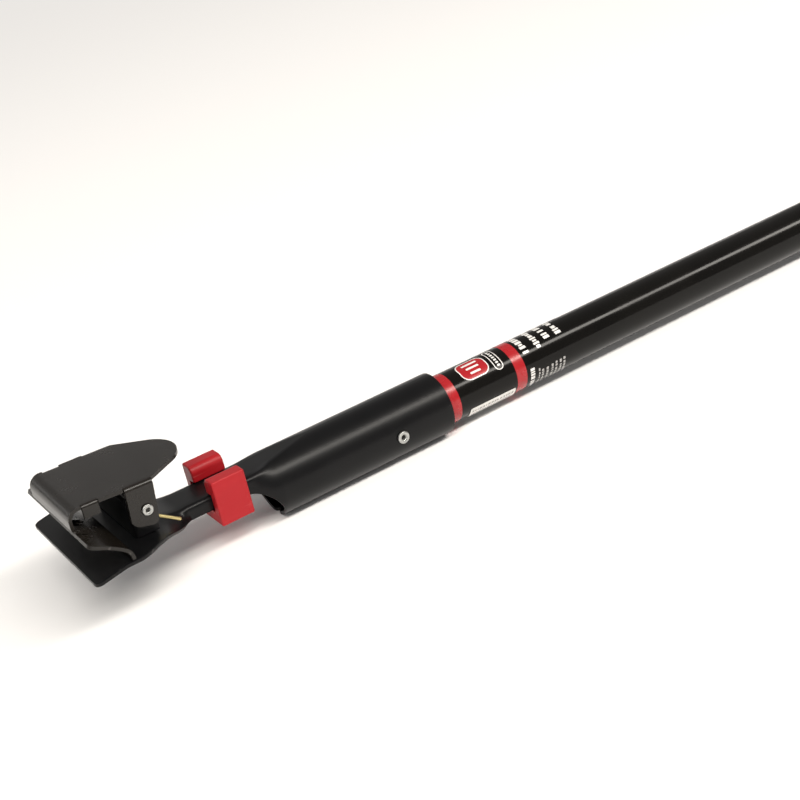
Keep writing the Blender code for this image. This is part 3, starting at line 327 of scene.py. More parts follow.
class Nodes:
    """A material's node tree with short calls for the nodes used here."""

    def __init__(self, name, metallic=0.0, specular=0.5):
        self.material = bpy.data.materials.new(name)
        self.material.use_nodes = True
        self.tree = self.material.node_tree
        self.shader = self.tree.nodes["Principled BSDF"]
        self.shader.inputs["Metallic"].default_value = metallic
        self.shader.inputs["Specular IOR Level"].default_value = specular
        self.place = self.tree.nodes.new("ShaderNodeTexCoord").outputs["Object"]

    def link(self, source, target):
        self.tree.links.new(source, target)

    def add(self, kind, values, links):
        """A new node with constants set on its inputs and sockets linked to them."""
        node = self.tree.nodes.new(kind)
        for name, value in values.items():
            node.inputs[name].default_value = value
        for name, source in links.items():
            self.link(source, node.inputs[name])
        return node.outputs

    def stretched(self, x, y, z):
        return self.add("ShaderNodeMapping", {"Scale": (x, y, z)}, {"Vector": self.place})["Vector"]

    def noise(self, scale, detail=3.0, vector=None, roughness=0.5):
        return self.add("ShaderNodeTexNoise", {"Scale": scale, "Detail": detail, "Roughness": roughness},
                        {"Vector": vector or self.place})["Fac"]

    def cells(self, scale):
        return self.add("ShaderNodeTexVoronoi", {"Scale": scale}, {"Vector": self.place})["Distance"]

    def span(self, value, low, high, to_low=0.0, to_high=1.0):
        limits = {"From Min": low, "From Max": high, "To Min": to_low, "To Max": to_high}
        return self.add("ShaderNodeMapRange", limits, {"Value": value})["Result"]

    def bump(self, height, distance):
        return self.add("ShaderNodeBump", {"Distance": distance}, {"Height": height})["Normal"]

    def math(self, operation, first, second):
        node = self.tree.nodes.new("ShaderNodeMath")
        node.operation = operation
        for socket, value in zip(node.inputs, (first, second)):
            if isinstance(value, (int, float)):
                socket.default_value = value
            else:
                self.link(value, socket)
        return node.outputs["Value"]

    def mix(self, share, first, second):
        node = self.tree.nodes.new("ShaderNodeMix")
        node.data_type = "RGBA"
        self.link(share, node.inputs[0])
        for socket, value in ((node.inputs[6], first), (node.inputs[7], second)):
            if isinstance(value, tuple):
                socket.default_value = (*value, 1.0)
            else:
                self.link(value, socket)
        return node.outputs[2]

    def attribute(self, name):
        node = self.tree.nodes.new("ShaderNodeAttribute")
        node.attribute_name = name
        return node.outputs["Fac"]

    def finish(self, color, roughness, normal, metallic=None):
        """Link the results to the shader and hand over the material."""
        results = {"Base Color": color, "Roughness": roughness, "Normal": normal, "Metallic": metallic}
        for name, value in results.items():
            if value is not None:
                self.link(value, self.shader.inputs[name])
        return self.material


def enamel(name, color, warm, roughness, peel, shine):
    """Black stoved enamel on steel: orange peel, a few dust specks, thin wear on the sheet's edges."""
    nodes = Nodes(name, specular=shine)
    cloud = nodes.noise(60.0, 2.0)
    specks = nodes.span(nodes.cells(420.0), 0.035, 0.06, 1.0, 0.0)
    rare = nodes.span(nodes.noise(95.0, 1.0), 0.60, 0.64)
    dust = nodes.math("MULTIPLY", nodes.math("MULTIPLY", specks, rare), 0.04)
    scuff = nodes.span(nodes.noise(330.0, 4.0, roughness=0.7), 0.60, 0.72)
    wear = nodes.math("MULTIPLY", nodes.math("MULTIPLY", nodes.attribute("rim"), scuff), 0.22)
    base = nodes.mix(dust, nodes.mix(cloud, color, warm), (0.32, 0.31, 0.29))
    grain = nodes.noise(700.0)
    uneven = nodes.span(cloud, 0.3, 0.7, roughness - 0.015, roughness + 0.015)
    return nodes.finish(nodes.mix(wear, base, (0.30, 0.29, 0.28)),
                        nodes.math("ADD", uneven, nodes.span(grain, 0.3, 0.7, -0.012, 0.012)),
                        nodes.bump(grain, peel), nodes.math("MULTIPLY", wear, 0.9))


def vinyl():
    """Glossy black vinyl: draw lines along the tube, a little haze and dust."""
    nodes = Nodes("gloss_vinyl", specular=0.20)
    lines = nodes.noise(900.0, vector=nodes.stretched(0.012, 1.0, 1.0))
    haze = nodes.noise(34.0)
    specks = nodes.span(nodes.cells(360.0), 0.03, 0.05, 1.0, 0.0)
    rare = nodes.span(nodes.noise(70.0, 1.0), 0.62, 0.66)
    dust = nodes.math("MULTIPLY", nodes.math("MULTIPLY", specks, rare), 0.30)
    base = nodes.mix(haze, (0.0016, 0.0014, 0.0012), (0.0046, 0.004, 0.0032))
    smear = nodes.span(haze, 0.3, 0.7, 0.10, 0.17)
    return nodes.finish(nodes.mix(dust, base, (0.35, 0.34, 0.32)),
                        nodes.math("ADD", smear, nodes.span(lines, 0.3, 0.7, -0.02, 0.03)),
                        nodes.bump(lines, 0.012 * MM))


def print_ink(name, color, other):
    """Ink under film: even colour with slight cloudiness and a faint dot screen."""
    nodes = Nodes(name, specular=0.55)
    cloud = nodes.noise(180.0)
    share = nodes.math("ADD", nodes.math("MULTIPLY", cloud, 0.75),
                       nodes.math("MULTIPLY", nodes.cells(3200.0), 0.35))
    return nodes.finish(nodes.mix(share, color, other), nodes.span(cloud, 0.3, 0.7, 0.21, 0.30),
                        nodes.bump(nodes.noise(1500.0, 2.0), 0.006 * MM))


def red_plastic():
    """Moulded red plastic: soft gloss, fine spark texture, faint flow streaks and pale scuffs."""
    nodes = Nodes("moulded_red", specular=0.3)
    flow = nodes.noise(70.0, 4.0, nodes.stretched(0.4, 1.0, 1.6))
    scratches = nodes.span(nodes.noise(520.0, 2.0, nodes.stretched(0.06, 1.0, 1.0)), 0.66, 0.74)
    base = nodes.mix(flow, *RED_TONES)
    return nodes.finish(nodes.mix(nodes.math("MULTIPLY", scratches, 0.18), base, (0.72, 0.30, 0.28)),
                        nodes.math("ADD", nodes.span(flow, 0.3, 0.7, 0.36, 0.46),
                                   nodes.math("MULTIPLY", scratches, 0.12)),
                        nodes.bump(nodes.noise(2400.0), 0.02 * MM))


def plated_steel():
    """Bright zinc on turned steel: mottled plating over fine tool marks."""
    nodes = Nodes("bright_zinc", metallic=1.0)
    mottled = nodes.noise(420.0, 4.0)
    return nodes.finish(nodes.mix(mottled, (0.30, 0.31, 0.31), (0.58, 0.58, 0.55)),
                        nodes.span(mottled, 0.25, 0.75, 0.20, 0.38),
                        nodes.bump(nodes.noise(2600.0), 0.010 * MM))


def spring_wire():
    """Yellow passivated wire with drawing lines and dull patches."""
    nodes = Nodes("yellow_wire", metallic=1.0)
    patches = nodes.noise(240.0)
    lines = nodes.noise(3000.0, 2.0, nodes.stretched(0.2, 1.0, 1.0))
    return nodes.finish(nodes.mix(patches, (0.40, 0.32, 0.13), (0.70, 0.60, 0.30)),
                        nodes.span(patches, 0.25, 0.75, 0.26, 0.44), nodes.bump(lines, 0.008 * MM))


def matte_plastic(name, dark, light, grain_size):
    """Moulded plastic with an etched grain."""
    nodes = Nodes(name, specular=0.4)
    grain = nodes.noise(grain_size)
    return nodes.finish(nodes.mix(nodes.noise(80.0), dark, light), nodes.span(grain, 0.25, 0.75, 0.42, 0.6),
                        nodes.bump(grain, 0.03 * MM))


def paper():
    """Coated white paper with fibres and a slight grey unevenness."""
    nodes = Nodes("coated_paper", specular=0.3)
    fibre = nodes.noise(1400.0, 4.0, nodes.stretched(0.3, 1.0, 1.0))
    share = nodes.math("MULTIPLY", nodes.math("ADD", fibre, nodes.noise(120.0)), 0.5)
    return nodes.finish(nodes.mix(share, (0.62, 0.61, 0.58), (0.82, 0.81, 0.78)),
                        nodes.span(fibre, 0.3, 0.7, 0.5, 0.65), nodes.bump(fibre, 0.01 * MM))


def bare_tube():
    """Extruded aluminium with die lines along the tube."""
    nodes = Nodes("die_lined_aluminium", metallic=1.0)
    lines = nodes.noise(1200.0, vector=nodes.stretched(0.01, 1.0, 1.0))
    return nodes.finish(nodes.mix(lines, (0.55, 0.56, 0.57), (0.78, 0.78, 0.79)),
                        nodes.span(lines, 0.3, 0.7, 0.28, 0.45), nodes.bump(lines, 0.01 * MM))


# ---- shape helpers
def new_piece(name, bm, material, body, nodes=(), smooth_angle=35):
    """Turn a bmesh into a piece that rides on a body and stands for CAD nodes."""
    bmesh.ops.recalc_face_normals(bm, faces=bm.faces)
    mesh = bpy.data.meshes.new(name)
    bm.to_mesh(mesh)
    bm.free()
    mesh.materials.append(material)
    mesh.shade_smooth()
    mesh.set_sharp_from_angle(angle=math.radians(smooth_angle))
    piece = add_object(name, mesh)
    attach(piece, body)
    if nodes:
        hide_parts(*nodes)
    return piece


def add_bevel(piece, width, segments=3, angle=40):
    modifier = piece.modifiers.new("rounded_edges", "BEVEL")
    modifier.width = width
    modifier.segments = segments
    modifier.limit_method = "ANGLE"
    modifier.angle_limit = math.radians(angle)
    modifier.harden_normals = True


def smooth(value):
    value = min(max(value, 0.0), 1.0)
    return value * value * (3 - 2 * value)


def ramp(x, start, end):
    return smooth((x - start) / (end - start))


def spread(start, stop, steps):
    """Positions after start, up to and including stop, evenly spaced."""
    return [start + (stop - start) * k / steps for k in range(1, steps + 1)]


def corner_width(distance, radius):
    """How much a rounded corner takes off the half width at a distance from the edge."""
    short = radius - min(max(distance, 0.0), radius)
    return radius - math.sqrt(radius ** 2 - short ** 2)


def quarter(steps, first=0):
    """Angles of a quarter turn, from step number first up to and including the last."""
    return [math.pi / 2 * k / steps for k in range(first, steps + 1)]


def arc_points(center, radius, start, end, steps):
    """Points on an arc, angles in radians, both ends included."""
    return [(center[0] + radius * math.cos(start + (end - start) * k / steps),
             center[1] + radius * math.sin(start + (end - start) * k / steps))
            for k in range(steps + 1)]


def follow(point, heading, pieces):
    """Walk straight runs and bends: ("run", length, steps) or ("bend", radius, end heading, steps)."""
    x, z = point
    path = [(x, z)]
    for kind, size, *rest in pieces:
        if kind == "run":
            steps = rest[0]
            turn, chord = 0.0, size / steps
        else:
            goal, steps = rest
            turn = (goal - heading) / steps
            chord = abs(2 * size * math.sin(turn / 2))
        for _ in range(steps):
            x += chord * math.cos(heading + turn / 2)
            z += chord * math.sin(heading + turn / 2)
            heading += turn
            path.append((x, z))
    return path


def turned(profile, axis, center, segments=96):
    """Spin a closed profile of (radius, along) points about an axis through center."""
    bm = bmesh.new()
    axis = Vector(axis).normalized()
    side = axis.orthogonal().normalized()
    center = Vector(center)
    poles = {k: bm.verts.new(center + axis * along)
             for k, (radius, along) in enumerate(profile) if radius == 0}
    rings = []
    for index in range(segments):
        out = Matrix.Rotation(2 * math.pi * index / segments, 3, axis) @ side
        rings.append([poles.get(k) or bm.verts.new(center + out * radius + axis * along)
                      for k, (radius, along) in enumerate(profile)])
    count = len(profile)
    for index in range(segments):
        ring, following = rings[index], rings[(index + 1) % segments]
        for k in range(count):
            k_next = (k + 1) % count
            corners = [ring[k], ring[k_next], following[k_next], following[k]]
            unique = list(dict.fromkeys(corners))
            if len(unique) > 2:
                bm.faces.new(unique)
    return bm


def rounded_profile(profile, radius, steps=4):
    """Round every corner of a closed profile that is off the axis."""
    rounded = []
    count = len(profile)
    for k, point in enumerate(profile):
        here = Vector(point)
        before = Vector(profile[k - 1]) - here
        after = Vector(profile[(k + 1) % count]) - here
        if point[0] == 0:
            rounded.append(point)
            continue
        size = min(radius, before.length * 0.45, after.length * 0.45)
        start = here + before.normalized() * size
        end = here + after.normalized() * size
        for step in range(steps + 1):
            t = step / steps
            place = start * (1 - t) ** 2 + here * 2 * t * (1 - t) + end * t ** 2
            rounded.append((place.x, place.y))
    return rounded


def sweep(path, radius, sides=20):
    """A round wire along a path of points, with domed ends."""
    points = [Vector(point) for point in path]
    tangents = [(points[min(k + 1, len(points) - 1)] - points[max(k - 1, 0)]).normalized()
                for k in range(len(points))]
    stations = [(points[0] - tangents[0] * radius * math.sin(a), tangents[0], radius * math.cos(a))
                for a in (math.radians(80), math.radians(50), math.radians(25))]
    stations += [(point, tangent, radius) for point, tangent in zip(points, tangents)]
    stations += [(points[-1] + tangents[-1] * radius * math.sin(a), tangents[-1], radius * math.cos(a))
                 for a in (math.radians(25), math.radians(50), math.radians(80))]
    bm = bmesh.new()
    normal = tangents[0].orthogonal().normalized()
    rings = []
    for point, tangent, size in stations:
        normal = (normal - tangent * normal.dot(tangent)).normalized()
        binormal = tangent.cross(normal)
        rings.append([bm.verts.new(point + size * (math.cos(a) * normal + math.sin(a) * binormal))
                      for a in (2 * math.pi * k / sides for k in range(sides))])
    join_rings(bm, rings)
    cap_rings(bm, rings)
    return bm


def join_rings(bm, rings):
    count = len(rings[0])
    for ring, following in zip(rings, rings[1:]):
        for k in range(count):
            k_next = (k + 1) % count
            bm.faces.new([ring[k], ring[k_next], following[k_next], following[k]])


def cap_rings(bm, rings):
    bm.faces.new(list(reversed(rings[0])))
    bm.faces.new(rings[-1])


def cap_sheet_ends(bm, rings):
    """Close the first and the last ring of a sheet, each with a strip of quads."""
    count = len(rings[0])
    for ring in (rings[0], rings[-1]):
        for k in range(count // 2 - 1):
            bm.faces.new([ring[k], ring[k + 1], ring[count - 2 - k], ring[count - 1 - k]])


def sheet_outline(path, thickness, rim, inset):
    """Closed outline of a sheet with rounded rims whose mid line is an open path in a plane.

    The first half of the points runs along one face and the second half back along the other.
    inset shrinks the outline, for the rings that round the sheet's end.
    """
    half = thickness / 2
    points = [Vector(point) for point in path]
    faces = []
    for side in (1, -1):
        line = []
        for k, point in enumerate(points):
            first = (point - points[k - 1]).normalized() if k else None
            second = (points[k + 1] - point).normalized() if k < len(points) - 1 else None
            tangent = ((first or second) + (second or first)).normalized()
            normal = Vector((-tangent.y, tangent.x)) * side
            if first and second:
                stretch = 1 / max(tangent.dot(first), 0.5)
                line.append(point + normal * (half - inset) * stretch)
                continue
            outward = -tangent if second else tangent
            corner = [point + outward * (rim * math.sin(a) - rim - inset)
                      + normal * (half - rim * (1 - math.cos(a)) - inset)
                      for a in (0, math.radians(45), math.radians(90))]
            line += list(reversed(corner)) if second else corner
        faces.append(line)
    return [tuple(point) for point in faces[0] + faces[1][::-1]]


def loft_sheet(sections, thickness, rim):
    """Loft a thick sheet through (x, path) sections, with rounded ends and a rim attribute."""
    bm = bmesh.new()
    layer = bm.verts.layers.float.new("rim")
    first, last = sections[0], sections[-1]
    turns = (math.radians(90), math.radians(60), math.radians(30))
    stations = [(first[0] + rim * (1 - math.sin(a)), first[1], rim * (1 - math.cos(a))) for a in turns]
    stations += [(x, path, 0.0) for x, path in sections[1:-1]]
    stations += [(last[0] - rim * (1 - math.sin(a)), last[1], rim * (1 - math.cos(a)))
                 for a in reversed(turns)]
    rings = []
    for x, path, inset in stations:
        outline = sheet_outline(path, thickness, rim, inset)
        rings.append([bm.verts.new((x, y, z)) for y, z in outline])
    join_rings(bm, rings)
    cap_sheet_ends(bm, rings)
    corner_points = 3
    half = len(rings[0]) // 2
    for number, ring in enumerate(rings):
        end = number < 3 or number >= len(rings) - 3
        for k, vert in enumerate(ring):
            place = k % half
            edge = place < corner_points or place >= half - corner_points
            vert[layer] = 1.0 if end or edge else 0.0
    return bm


def mark_rims(bm, sharp=50):
    """Set the rim attribute to 1 on vertices of edges sharper than an angle in degrees."""
    layer = bm.verts.layers.float.get("rim") or bm.verts.layers.float.new("rim")
    bm.normal_update()
    for edge in bm.edges:
        if len(edge.link_faces) == 2 and edge.calc_face_angle() > math.radians(sharp):
            for vert in edge.verts:
                vert[layer] = 1.0


def thicken(surface, thickness):
    """Turn an open surface into a closed sheet, half the thickness to each side."""
    bmesh.ops.recalc_face_normals(surface, faces=surface.faces)
    surface.normal_update()
    boundary = [edge for edge in surface.edges if len(edge.link_faces) == 1]
    normals = {}
    for vert in surface.verts:
        normal = vert.normal.copy()
        lowest = min(normal.dot(face.normal) for face in vert.link_faces)
        normals[vert] = normal / max(lowest, 0.5)
    lower = {vert: surface.verts.new(vert.co - normal * thickness / 2) for vert, normal in normals.items()}
    faces = list(surface.faces)
    for face in faces:
        surface.faces.new([lower[vert] for vert in reversed(face.verts)])
    for edge in boundary:
        first, second = edge.verts
        surface.faces.new([first, second, lower[second], lower[first]])
    for vert, normal in normals.items():
        vert.co += normal * thickness / 2


def grid_surface(rows):
    """Join rows of points into one surface of quads; returns the bmesh and its rows of vertices."""
    bm = bmesh.new()
    verts = [[bm.verts.new(point) for point in row] for row in rows]
    for upper, lower in zip(verts, verts[1:]):
        for k in range(len(upper) - 1):
            bm.faces.new([upper[k], upper[k + 1], lower[k + 1], lower[k]])
    return bm, verts


# ---- stamping: plate, shank and socket
def plate_top(x):
    """Height of the stamping's top face on its centre line, ahead of the socket."""
    if x < PLATE_FLAT_FRONT_X:
        return -PLATE_LIP_DROP * (PLATE_FLAT_FRONT_X - x) / (PLATE_FLAT_FRONT_X - PLATE_FRONT_X)
    return SHANK_TOP_Z * ramp(x, PLATE_FLAT_REAR_X, SHANK_DROP_X)


def neck_side(x):
    """Reach and drop of the side sheet's edge from the flat's edge, ahead of the shank."""
    share = min(max((x - PLATE_TAPER_X) / (SHANK_FRONT_X - PLATE_TAPER_X), 0.0), 1.0)
    plate_reach = (PLATE_WIDTH - SHANK_WIDTH + FRAME_SHEET) / 2
    lowered = min(max((x - NECK_DROP_X) / (SHANK_FRONT_X - NECK_DROP_X), 0.0), 1.0)
    drop = (SHANK_DEPTH - FRAME_SHEET / 2) * lowered ** 1.2
    return plate_reach * (1 - share ** 1.5), drop


def side_fold(x):
    """Angle by which the sides are folded down from the plate."""
    reach, drop = neck_side(x)
    return math.atan2(drop, reach)


def socket_flat(x):
    """Half width of the flat on top, at mid sheet: the shank's, then fading out over the socket."""
    half = SHANK_WIDTH / 2 - FRAME_SHEET / 2
    if x <= SOCKET_NOTCH_X:
        return half
    share = min((x - SOCKET_NOTCH_X) / (SOCKET_ROUND_X - SOCKET_NOTCH_X), 1.0)
    return max(half * (1 - share ** 1.6), SOCKET_FLAT_END)


def section_point(x, along):
    """Mid-sheet point (y, z) of the section at x, at a distance round it from the flat's edge."""
    flat = socket_flat(x)
    rounded = ramp(x, SOCKET_NOTCH_X - 1 * MM, SOCKET_NOTCH_X + SOCKET_NOTCH_LENGTH)
    chord = AXIS_Z + math.sqrt(SOCKET_MID_RADIUS ** 2 - flat ** 2)
    top = (plate_top(x) - FRAME_SHEET / 2) * (1 - rounded) + chord * rounded
    fold = side_fold(x)
    radius = SHANK_CORNER_RADIUS
    inset = radius * fold / (math.pi / 2)
    if along <= 0:
        edge = flat - inset * (1 - rounded)
        return edge + along, top
    bend = min(along / radius, fold)
    rest = along - radius * bend
    y_folded = flat - inset + radius * math.sin(bend) + rest * math.cos(fold)
    z_folded = top - radius * (1 - math.cos(bend)) - rest * math.sin(fold)
    angle = math.asin(flat / SOCKET_MID_RADIUS) + along / SOCKET_MID_RADIUS
    y_round = SOCKET_MID_RADIUS * math.sin(angle)
    z_round = AXIS_Z + SOCKET_MID_RADIUS * math.cos(angle)
    return y_folded + (y_round - y_folded) * rounded, z_folded + (z_round - z_folded) * rounded


def full_side(x):
    """Length of sheet from the flat's edge round to the bottom seam."""
    flat_angle = math.asin(socket_flat(x) / SOCKET_MID_RADIUS)
    return SOCKET_MID_RADIUS * (math.pi - flat_angle) - SOCKET_SEAM_GAP / 2


def notch_side(x):
    """Length of side sheet in the notch, where the sheet's edge sweeps down into the socket."""
    wall_bottom = SHANK_TOP_Z - SHANK_DEPTH
    depth = wall_bottom - (AXIS_Z - SOCKET_RADIUS)
    share = min((x - SOCKET_NOTCH_X) / SOCKET_NOTCH_LENGTH, 1.0)
    edge_z = wall_bottom - depth * (1 - math.sqrt(1 - share ** 2))
    low, high = 0.0, full_side(x) - SOCKET_LOBE_RADIUS
    for _ in range(30):
        middle = (low + high) / 2
        if section_point(x, middle)[1] > edge_z:
            low = middle
        else:
            high = middle
    return low


def side_length(x):
    """Length of sheet on each side of the flat, measured round the section at mid sheet."""
    if x < SHANK_FRONT_X:
        return math.hypot(*neck_side(x)) - corner_width(x - PLATE_FRONT_X, PLATE_CORNER_RADIUS)
    if x < SOCKET_NOTCH_X:
        return SHANK_DEPTH - FRAME_SHEET / 2
    if x < SOCKET_NOTCH_X + SOCKET_NOTCH_LENGTH:
        return notch_side(x)
    return full_side(x) - corner_width(x - SOCKET_NOTCH_X - SOCKET_NOTCH_LENGTH, SOCKET_LOBE_RADIUS)


def frame_path(x, bend_steps=6, side_steps=36):
    """Whole mid-sheet section at x, from one edge to the other."""
    length = side_length(x)
    bend_length = SHANK_CORNER_RADIUS * math.pi / 2
    flat = section_point(x, 0)[0]
    half = [section_point(x, -flat * (1 - share)) for share in (0, 0.34, 0.67)]
    alongs = [bend_length * k / bend_steps for k in range(bend_steps + 1)]
    alongs += spread(bend_length, length, side_steps)
    half += [section_point(x, along) for along in alongs]
    return [(-y, z) for y, z in reversed(half[1:])] + half


def frame_stations():
    corner = [PLATE_FRONT_X + PLATE_CORNER_RADIUS * (1 - math.cos(a)) for a in quarter(8)]
    plate = spread(corner[-1], PLATE_FLAT_FRONT_X, 4) + spread(PLATE_FLAT_FRONT_X, PLATE_TAPER_X, 4)
    neck = spread(PLATE_TAPER_X, SHANK_FRONT_X, 60)
    shank = spread(neck[-1], SOCKET_NOTCH_X, 12)
    notch = [SOCKET_NOTCH_X + SOCKET_NOTCH_LENGTH * math.sin(a) for a in quarter(34, 1)[:-1]]
    notch_end = SOCKET_NOTCH_X + SOCKET_NOTCH_LENGTH
    lobe = [notch_end + SOCKET_LOBE_RADIUS * (1 - math.cos(a)) for a in quarter(8)]
    crease = spread(lobe[-1], SOCKET_ROUND_X, 20)
    barrel = spread(SOCKET_ROUND_X, SOCKET_MOUTH_X, 24)
    return corner + plate + neck + shank + notch + lobe + crease + barrel


def make_frame(material):
    sections = [(x, frame_path(x)) for x in frame_stations()]
    bm = loft_sheet(sections, FRAME_SHEET, SHEET_RIM)
    return new_piece("frame_stamping", bm, material, "base", ["socket_frame"])


# ---- clip lever
def lever_top(x):
    return LEVER_TOP_Z - (x - LEVER_KINK_X) * math.tan(LEVER_SLOPE)


def lever_tail():
    """Centre of the tail's round tip, and the angle where the straight sides meet it."""
    center = LEVER_TIP_X - LEVER_TIP_RADIUS
    run = center - LEVER_KINK_X
    reach = math.hypot(run, LEVER_HALF_WIDTH)
    return center, math.pi - math.atan2(LEVER_HALF_WIDTH, run) - math.acos(LEVER_TIP_RADIUS / reach)


def lever_half_width(x):
    """Half width of the lever's plan: a slow taper forward of the kinks, straight sides behind them."""
    if x > LEVER_KINK_X:
        center, angle = lever_tail()
        touch_x = center + LEVER_TIP_RADIUS * math.cos(angle)
        touch_y = LEVER_TIP_RADIUS * math.sin(angle)
        share = (x - LEVER_KINK_X) / (touch_x - LEVER_KINK_X)
        return LEVER_HALF_WIDTH + (touch_y - LEVER_HALF_WIDTH) * share
    share = (LEVER_KINK_X - x) / (LEVER_KINK_X - LEVER_FRONT_X)
    return LEVER_HALF_WIDTH + (LEVER_FRONT_HALF_WIDTH - LEVER_HALF_WIDTH) * share


def lever_path():
    """Mid-sheet side profile of the front, from the hem's edge up and over to the flat top."""
    half = LEVER_SHEET / 2
    fold_radius = LEVER_FRONT_RADIUS - half
    normal = (math.sin(JAW_LIP_SLOPE), math.cos(JAW_LIP_SLOPE))
    lift = JAW_SHEET / 2 + TOUCH_GAP + half
    face_x = LEVER_FRONT_X + half
    hem_start_x = face_x + HEM_BEND_RADIUS * (1 - math.sin(JAW_LIP_SLOPE))
    line_x = JAW_LIP_X + lift * normal[0]
    line_z = JAW_LIP_Z + lift * normal[1]
    hem_start_z = line_z - (hem_start_x - line_x) * math.tan(JAW_LIP_SLOPE)
    hem_end = (hem_start_x + HEM_LENGTH * math.cos(JAW_LIP_SLOPE),
               hem_start_z - HEM_LENGTH * math.sin(JAW_LIP_SLOPE))
    flange_low = hem_start_z + HEM_BEND_RADIUS * math.cos(JAW_LIP_SLOPE)
    flange_high = lever_top(face_x + fold_radius) - half - fold_radius
    return follow(hem_end, math.pi - JAW_LIP_SLOPE,
                  [("run", HEM_LENGTH, 6), ("bend", HEM_BEND_RADIUS, math.pi / 2, 10),
                   ("run", flange_high - flange_low, 6), ("bend", fold_radius, -LEVER_SLOPE, 20)])


def bend_down(bm, edge, face_y, radius, bottoms):
    """Fold a row of edge vertices down: a round bend, then a straight wall to the bottoms."""
    side = 1 if face_y > 0 else -1
    inner_y = face_y - side * radius
    previous = edge
    bend_steps = 8
    wall_steps = 5
    corner_line = None
    for step in range(1, bend_steps + wall_steps + 1):
        if step <= bend_steps:
            angle = math.pi / 2 * step / bend_steps
            line = [bm.verts.new((vert.co.x, inner_y + side * radius * math.sin(angle),
                                  vert.co.z - radius * (1 - math.cos(angle)))) for vert in edge]
            corner_line = line
        else:
            share = (step - bend_steps) / wall_steps
            line = [bm.verts.new((vert.co.x + (x - vert.co.x) * share, face_y,
                                  vert.co.z + (z - vert.co.z) * share))
                    for vert, (x, z) in zip(corner_line, bottoms)]
        for k in range(len(line) - 1):
            bm.faces.new([previous[k], previous[k + 1], line[k + 1], line[k]])
        previous = line


def ear_bottoms(count):
    """Lower edge of an ear: a slant that falls to the rear, round at both corners."""
    bottoms = []
    for k in range(count):
        share = k / (count - 1)
        x = EAR_BOTTOM_FRONT_X + (EAR_BOTTOM_REAR_X - EAR_BOTTOM_FRONT_X) * share
        z = EAR_FRONT_BOTTOM_Z + (EAR_REAR_BOTTOM_Z - EAR_FRONT_BOTTOM_Z) * share
        bottoms.append((x, z + EAR_CORNER * abs(2 * share - 1) ** 5))
    return bottoms


def make_lever(material):
    half = LEVER_SHEET / 2
    rows = [(x, z, LEVER_FRONT_HALF_WIDTH) for x, z in lever_path()]
    tab_row = len(rows) + 1
    tab_start = rows[-1][0] + TAB_SETBACK
    tab = [tab_start] + spread(tab_start, TAB_REAR_X, 7)
    gap = [TAB_REAR_X + RELIEF] + spread(TAB_REAR_X + RELIEF, EAR_FRONT_X - RELIEF, 5)
    ear_row = tab_row + len(tab) + len(gap)
    ear = [EAR_FRONT_X] + spread(EAR_FRONT_X, EAR_REAR_X, 12)
    tab_inner = LEVER_FRONT_HALF_WIDTH - half - TAB_BEND_RADIUS
    ear_inner = LEVER_HALF_WIDTH - half - EAR_BEND_RADIUS
    rows.append((tab_start - RELIEF, lever_top(tab_start) - half, LEVER_FRONT_HALF_WIDTH))
    rows += [(x, lever_top(x) - half, tab_inner) for x in tab]
    rows += [(x, lever_top(x) - half, lever_half_width(x) - GAP_SETBACK) for x in gap]
    rows += [(x, lever_top(x) - half, ear_inner) for x in ear]
    center, angle = lever_tail()
    rows.append((EAR_REAR_X + RELIEF, lever_top(EAR_REAR_X) - half, lever_half_width(EAR_REAR_X + RELIEF)))
    for k in range(TIP_STEPS + 1):
        turn = angle + (TIP_LAST_ANGLE - angle) * k / TIP_STEPS
        x = center + LEVER_TIP_RADIUS * math.cos(turn)
        rows.append((x, lever_top(x) - half, LEVER_TIP_RADIUS * math.sin(turn)))
    shares = [2 * k / LEVER_COLUMNS - 1 for k in range(LEVER_COLUMNS + 1)]
    bm, verts = grid_surface([[(x, width * share, z) for share in shares] for x, z, width in rows])
    for side, column in ((-1, 0), (1, -1)):
        tab_y = side * (LEVER_FRONT_HALF_WIDTH - half)
        bend_down(bm, [verts[tab_row + k][column] for k in range(len(tab))], tab_y, TAB_BEND_RADIUS,
                  [(x, lever_top(x) - half - TAB_DEPTH) for x in tab])
        ear_y = side * (LEVER_HALF_WIDTH - half)
        bend_down(bm, [verts[ear_row + k][column] for k in range(len(ear))], ear_y, EAR_BEND_RADIUS,
                  ear_bottoms(len(ear)))
    thicken(bm, LEVER_SHEET)
    bmesh.ops.recalc_face_normals(bm, faces=bm.faces)
    mark_rims(bm)
    lever = new_piece("lever_pressing", bm, material, "lever", ["clip_lever"])
    add_bevel(lever, PRESSING_EDGE, 3, 50)


# ---- jaw
def jaw_normal():
    return Vector((math.sin(JAW_LIP_SLOPE), 0, math.cos(JAW_LIP_SLOPE)))


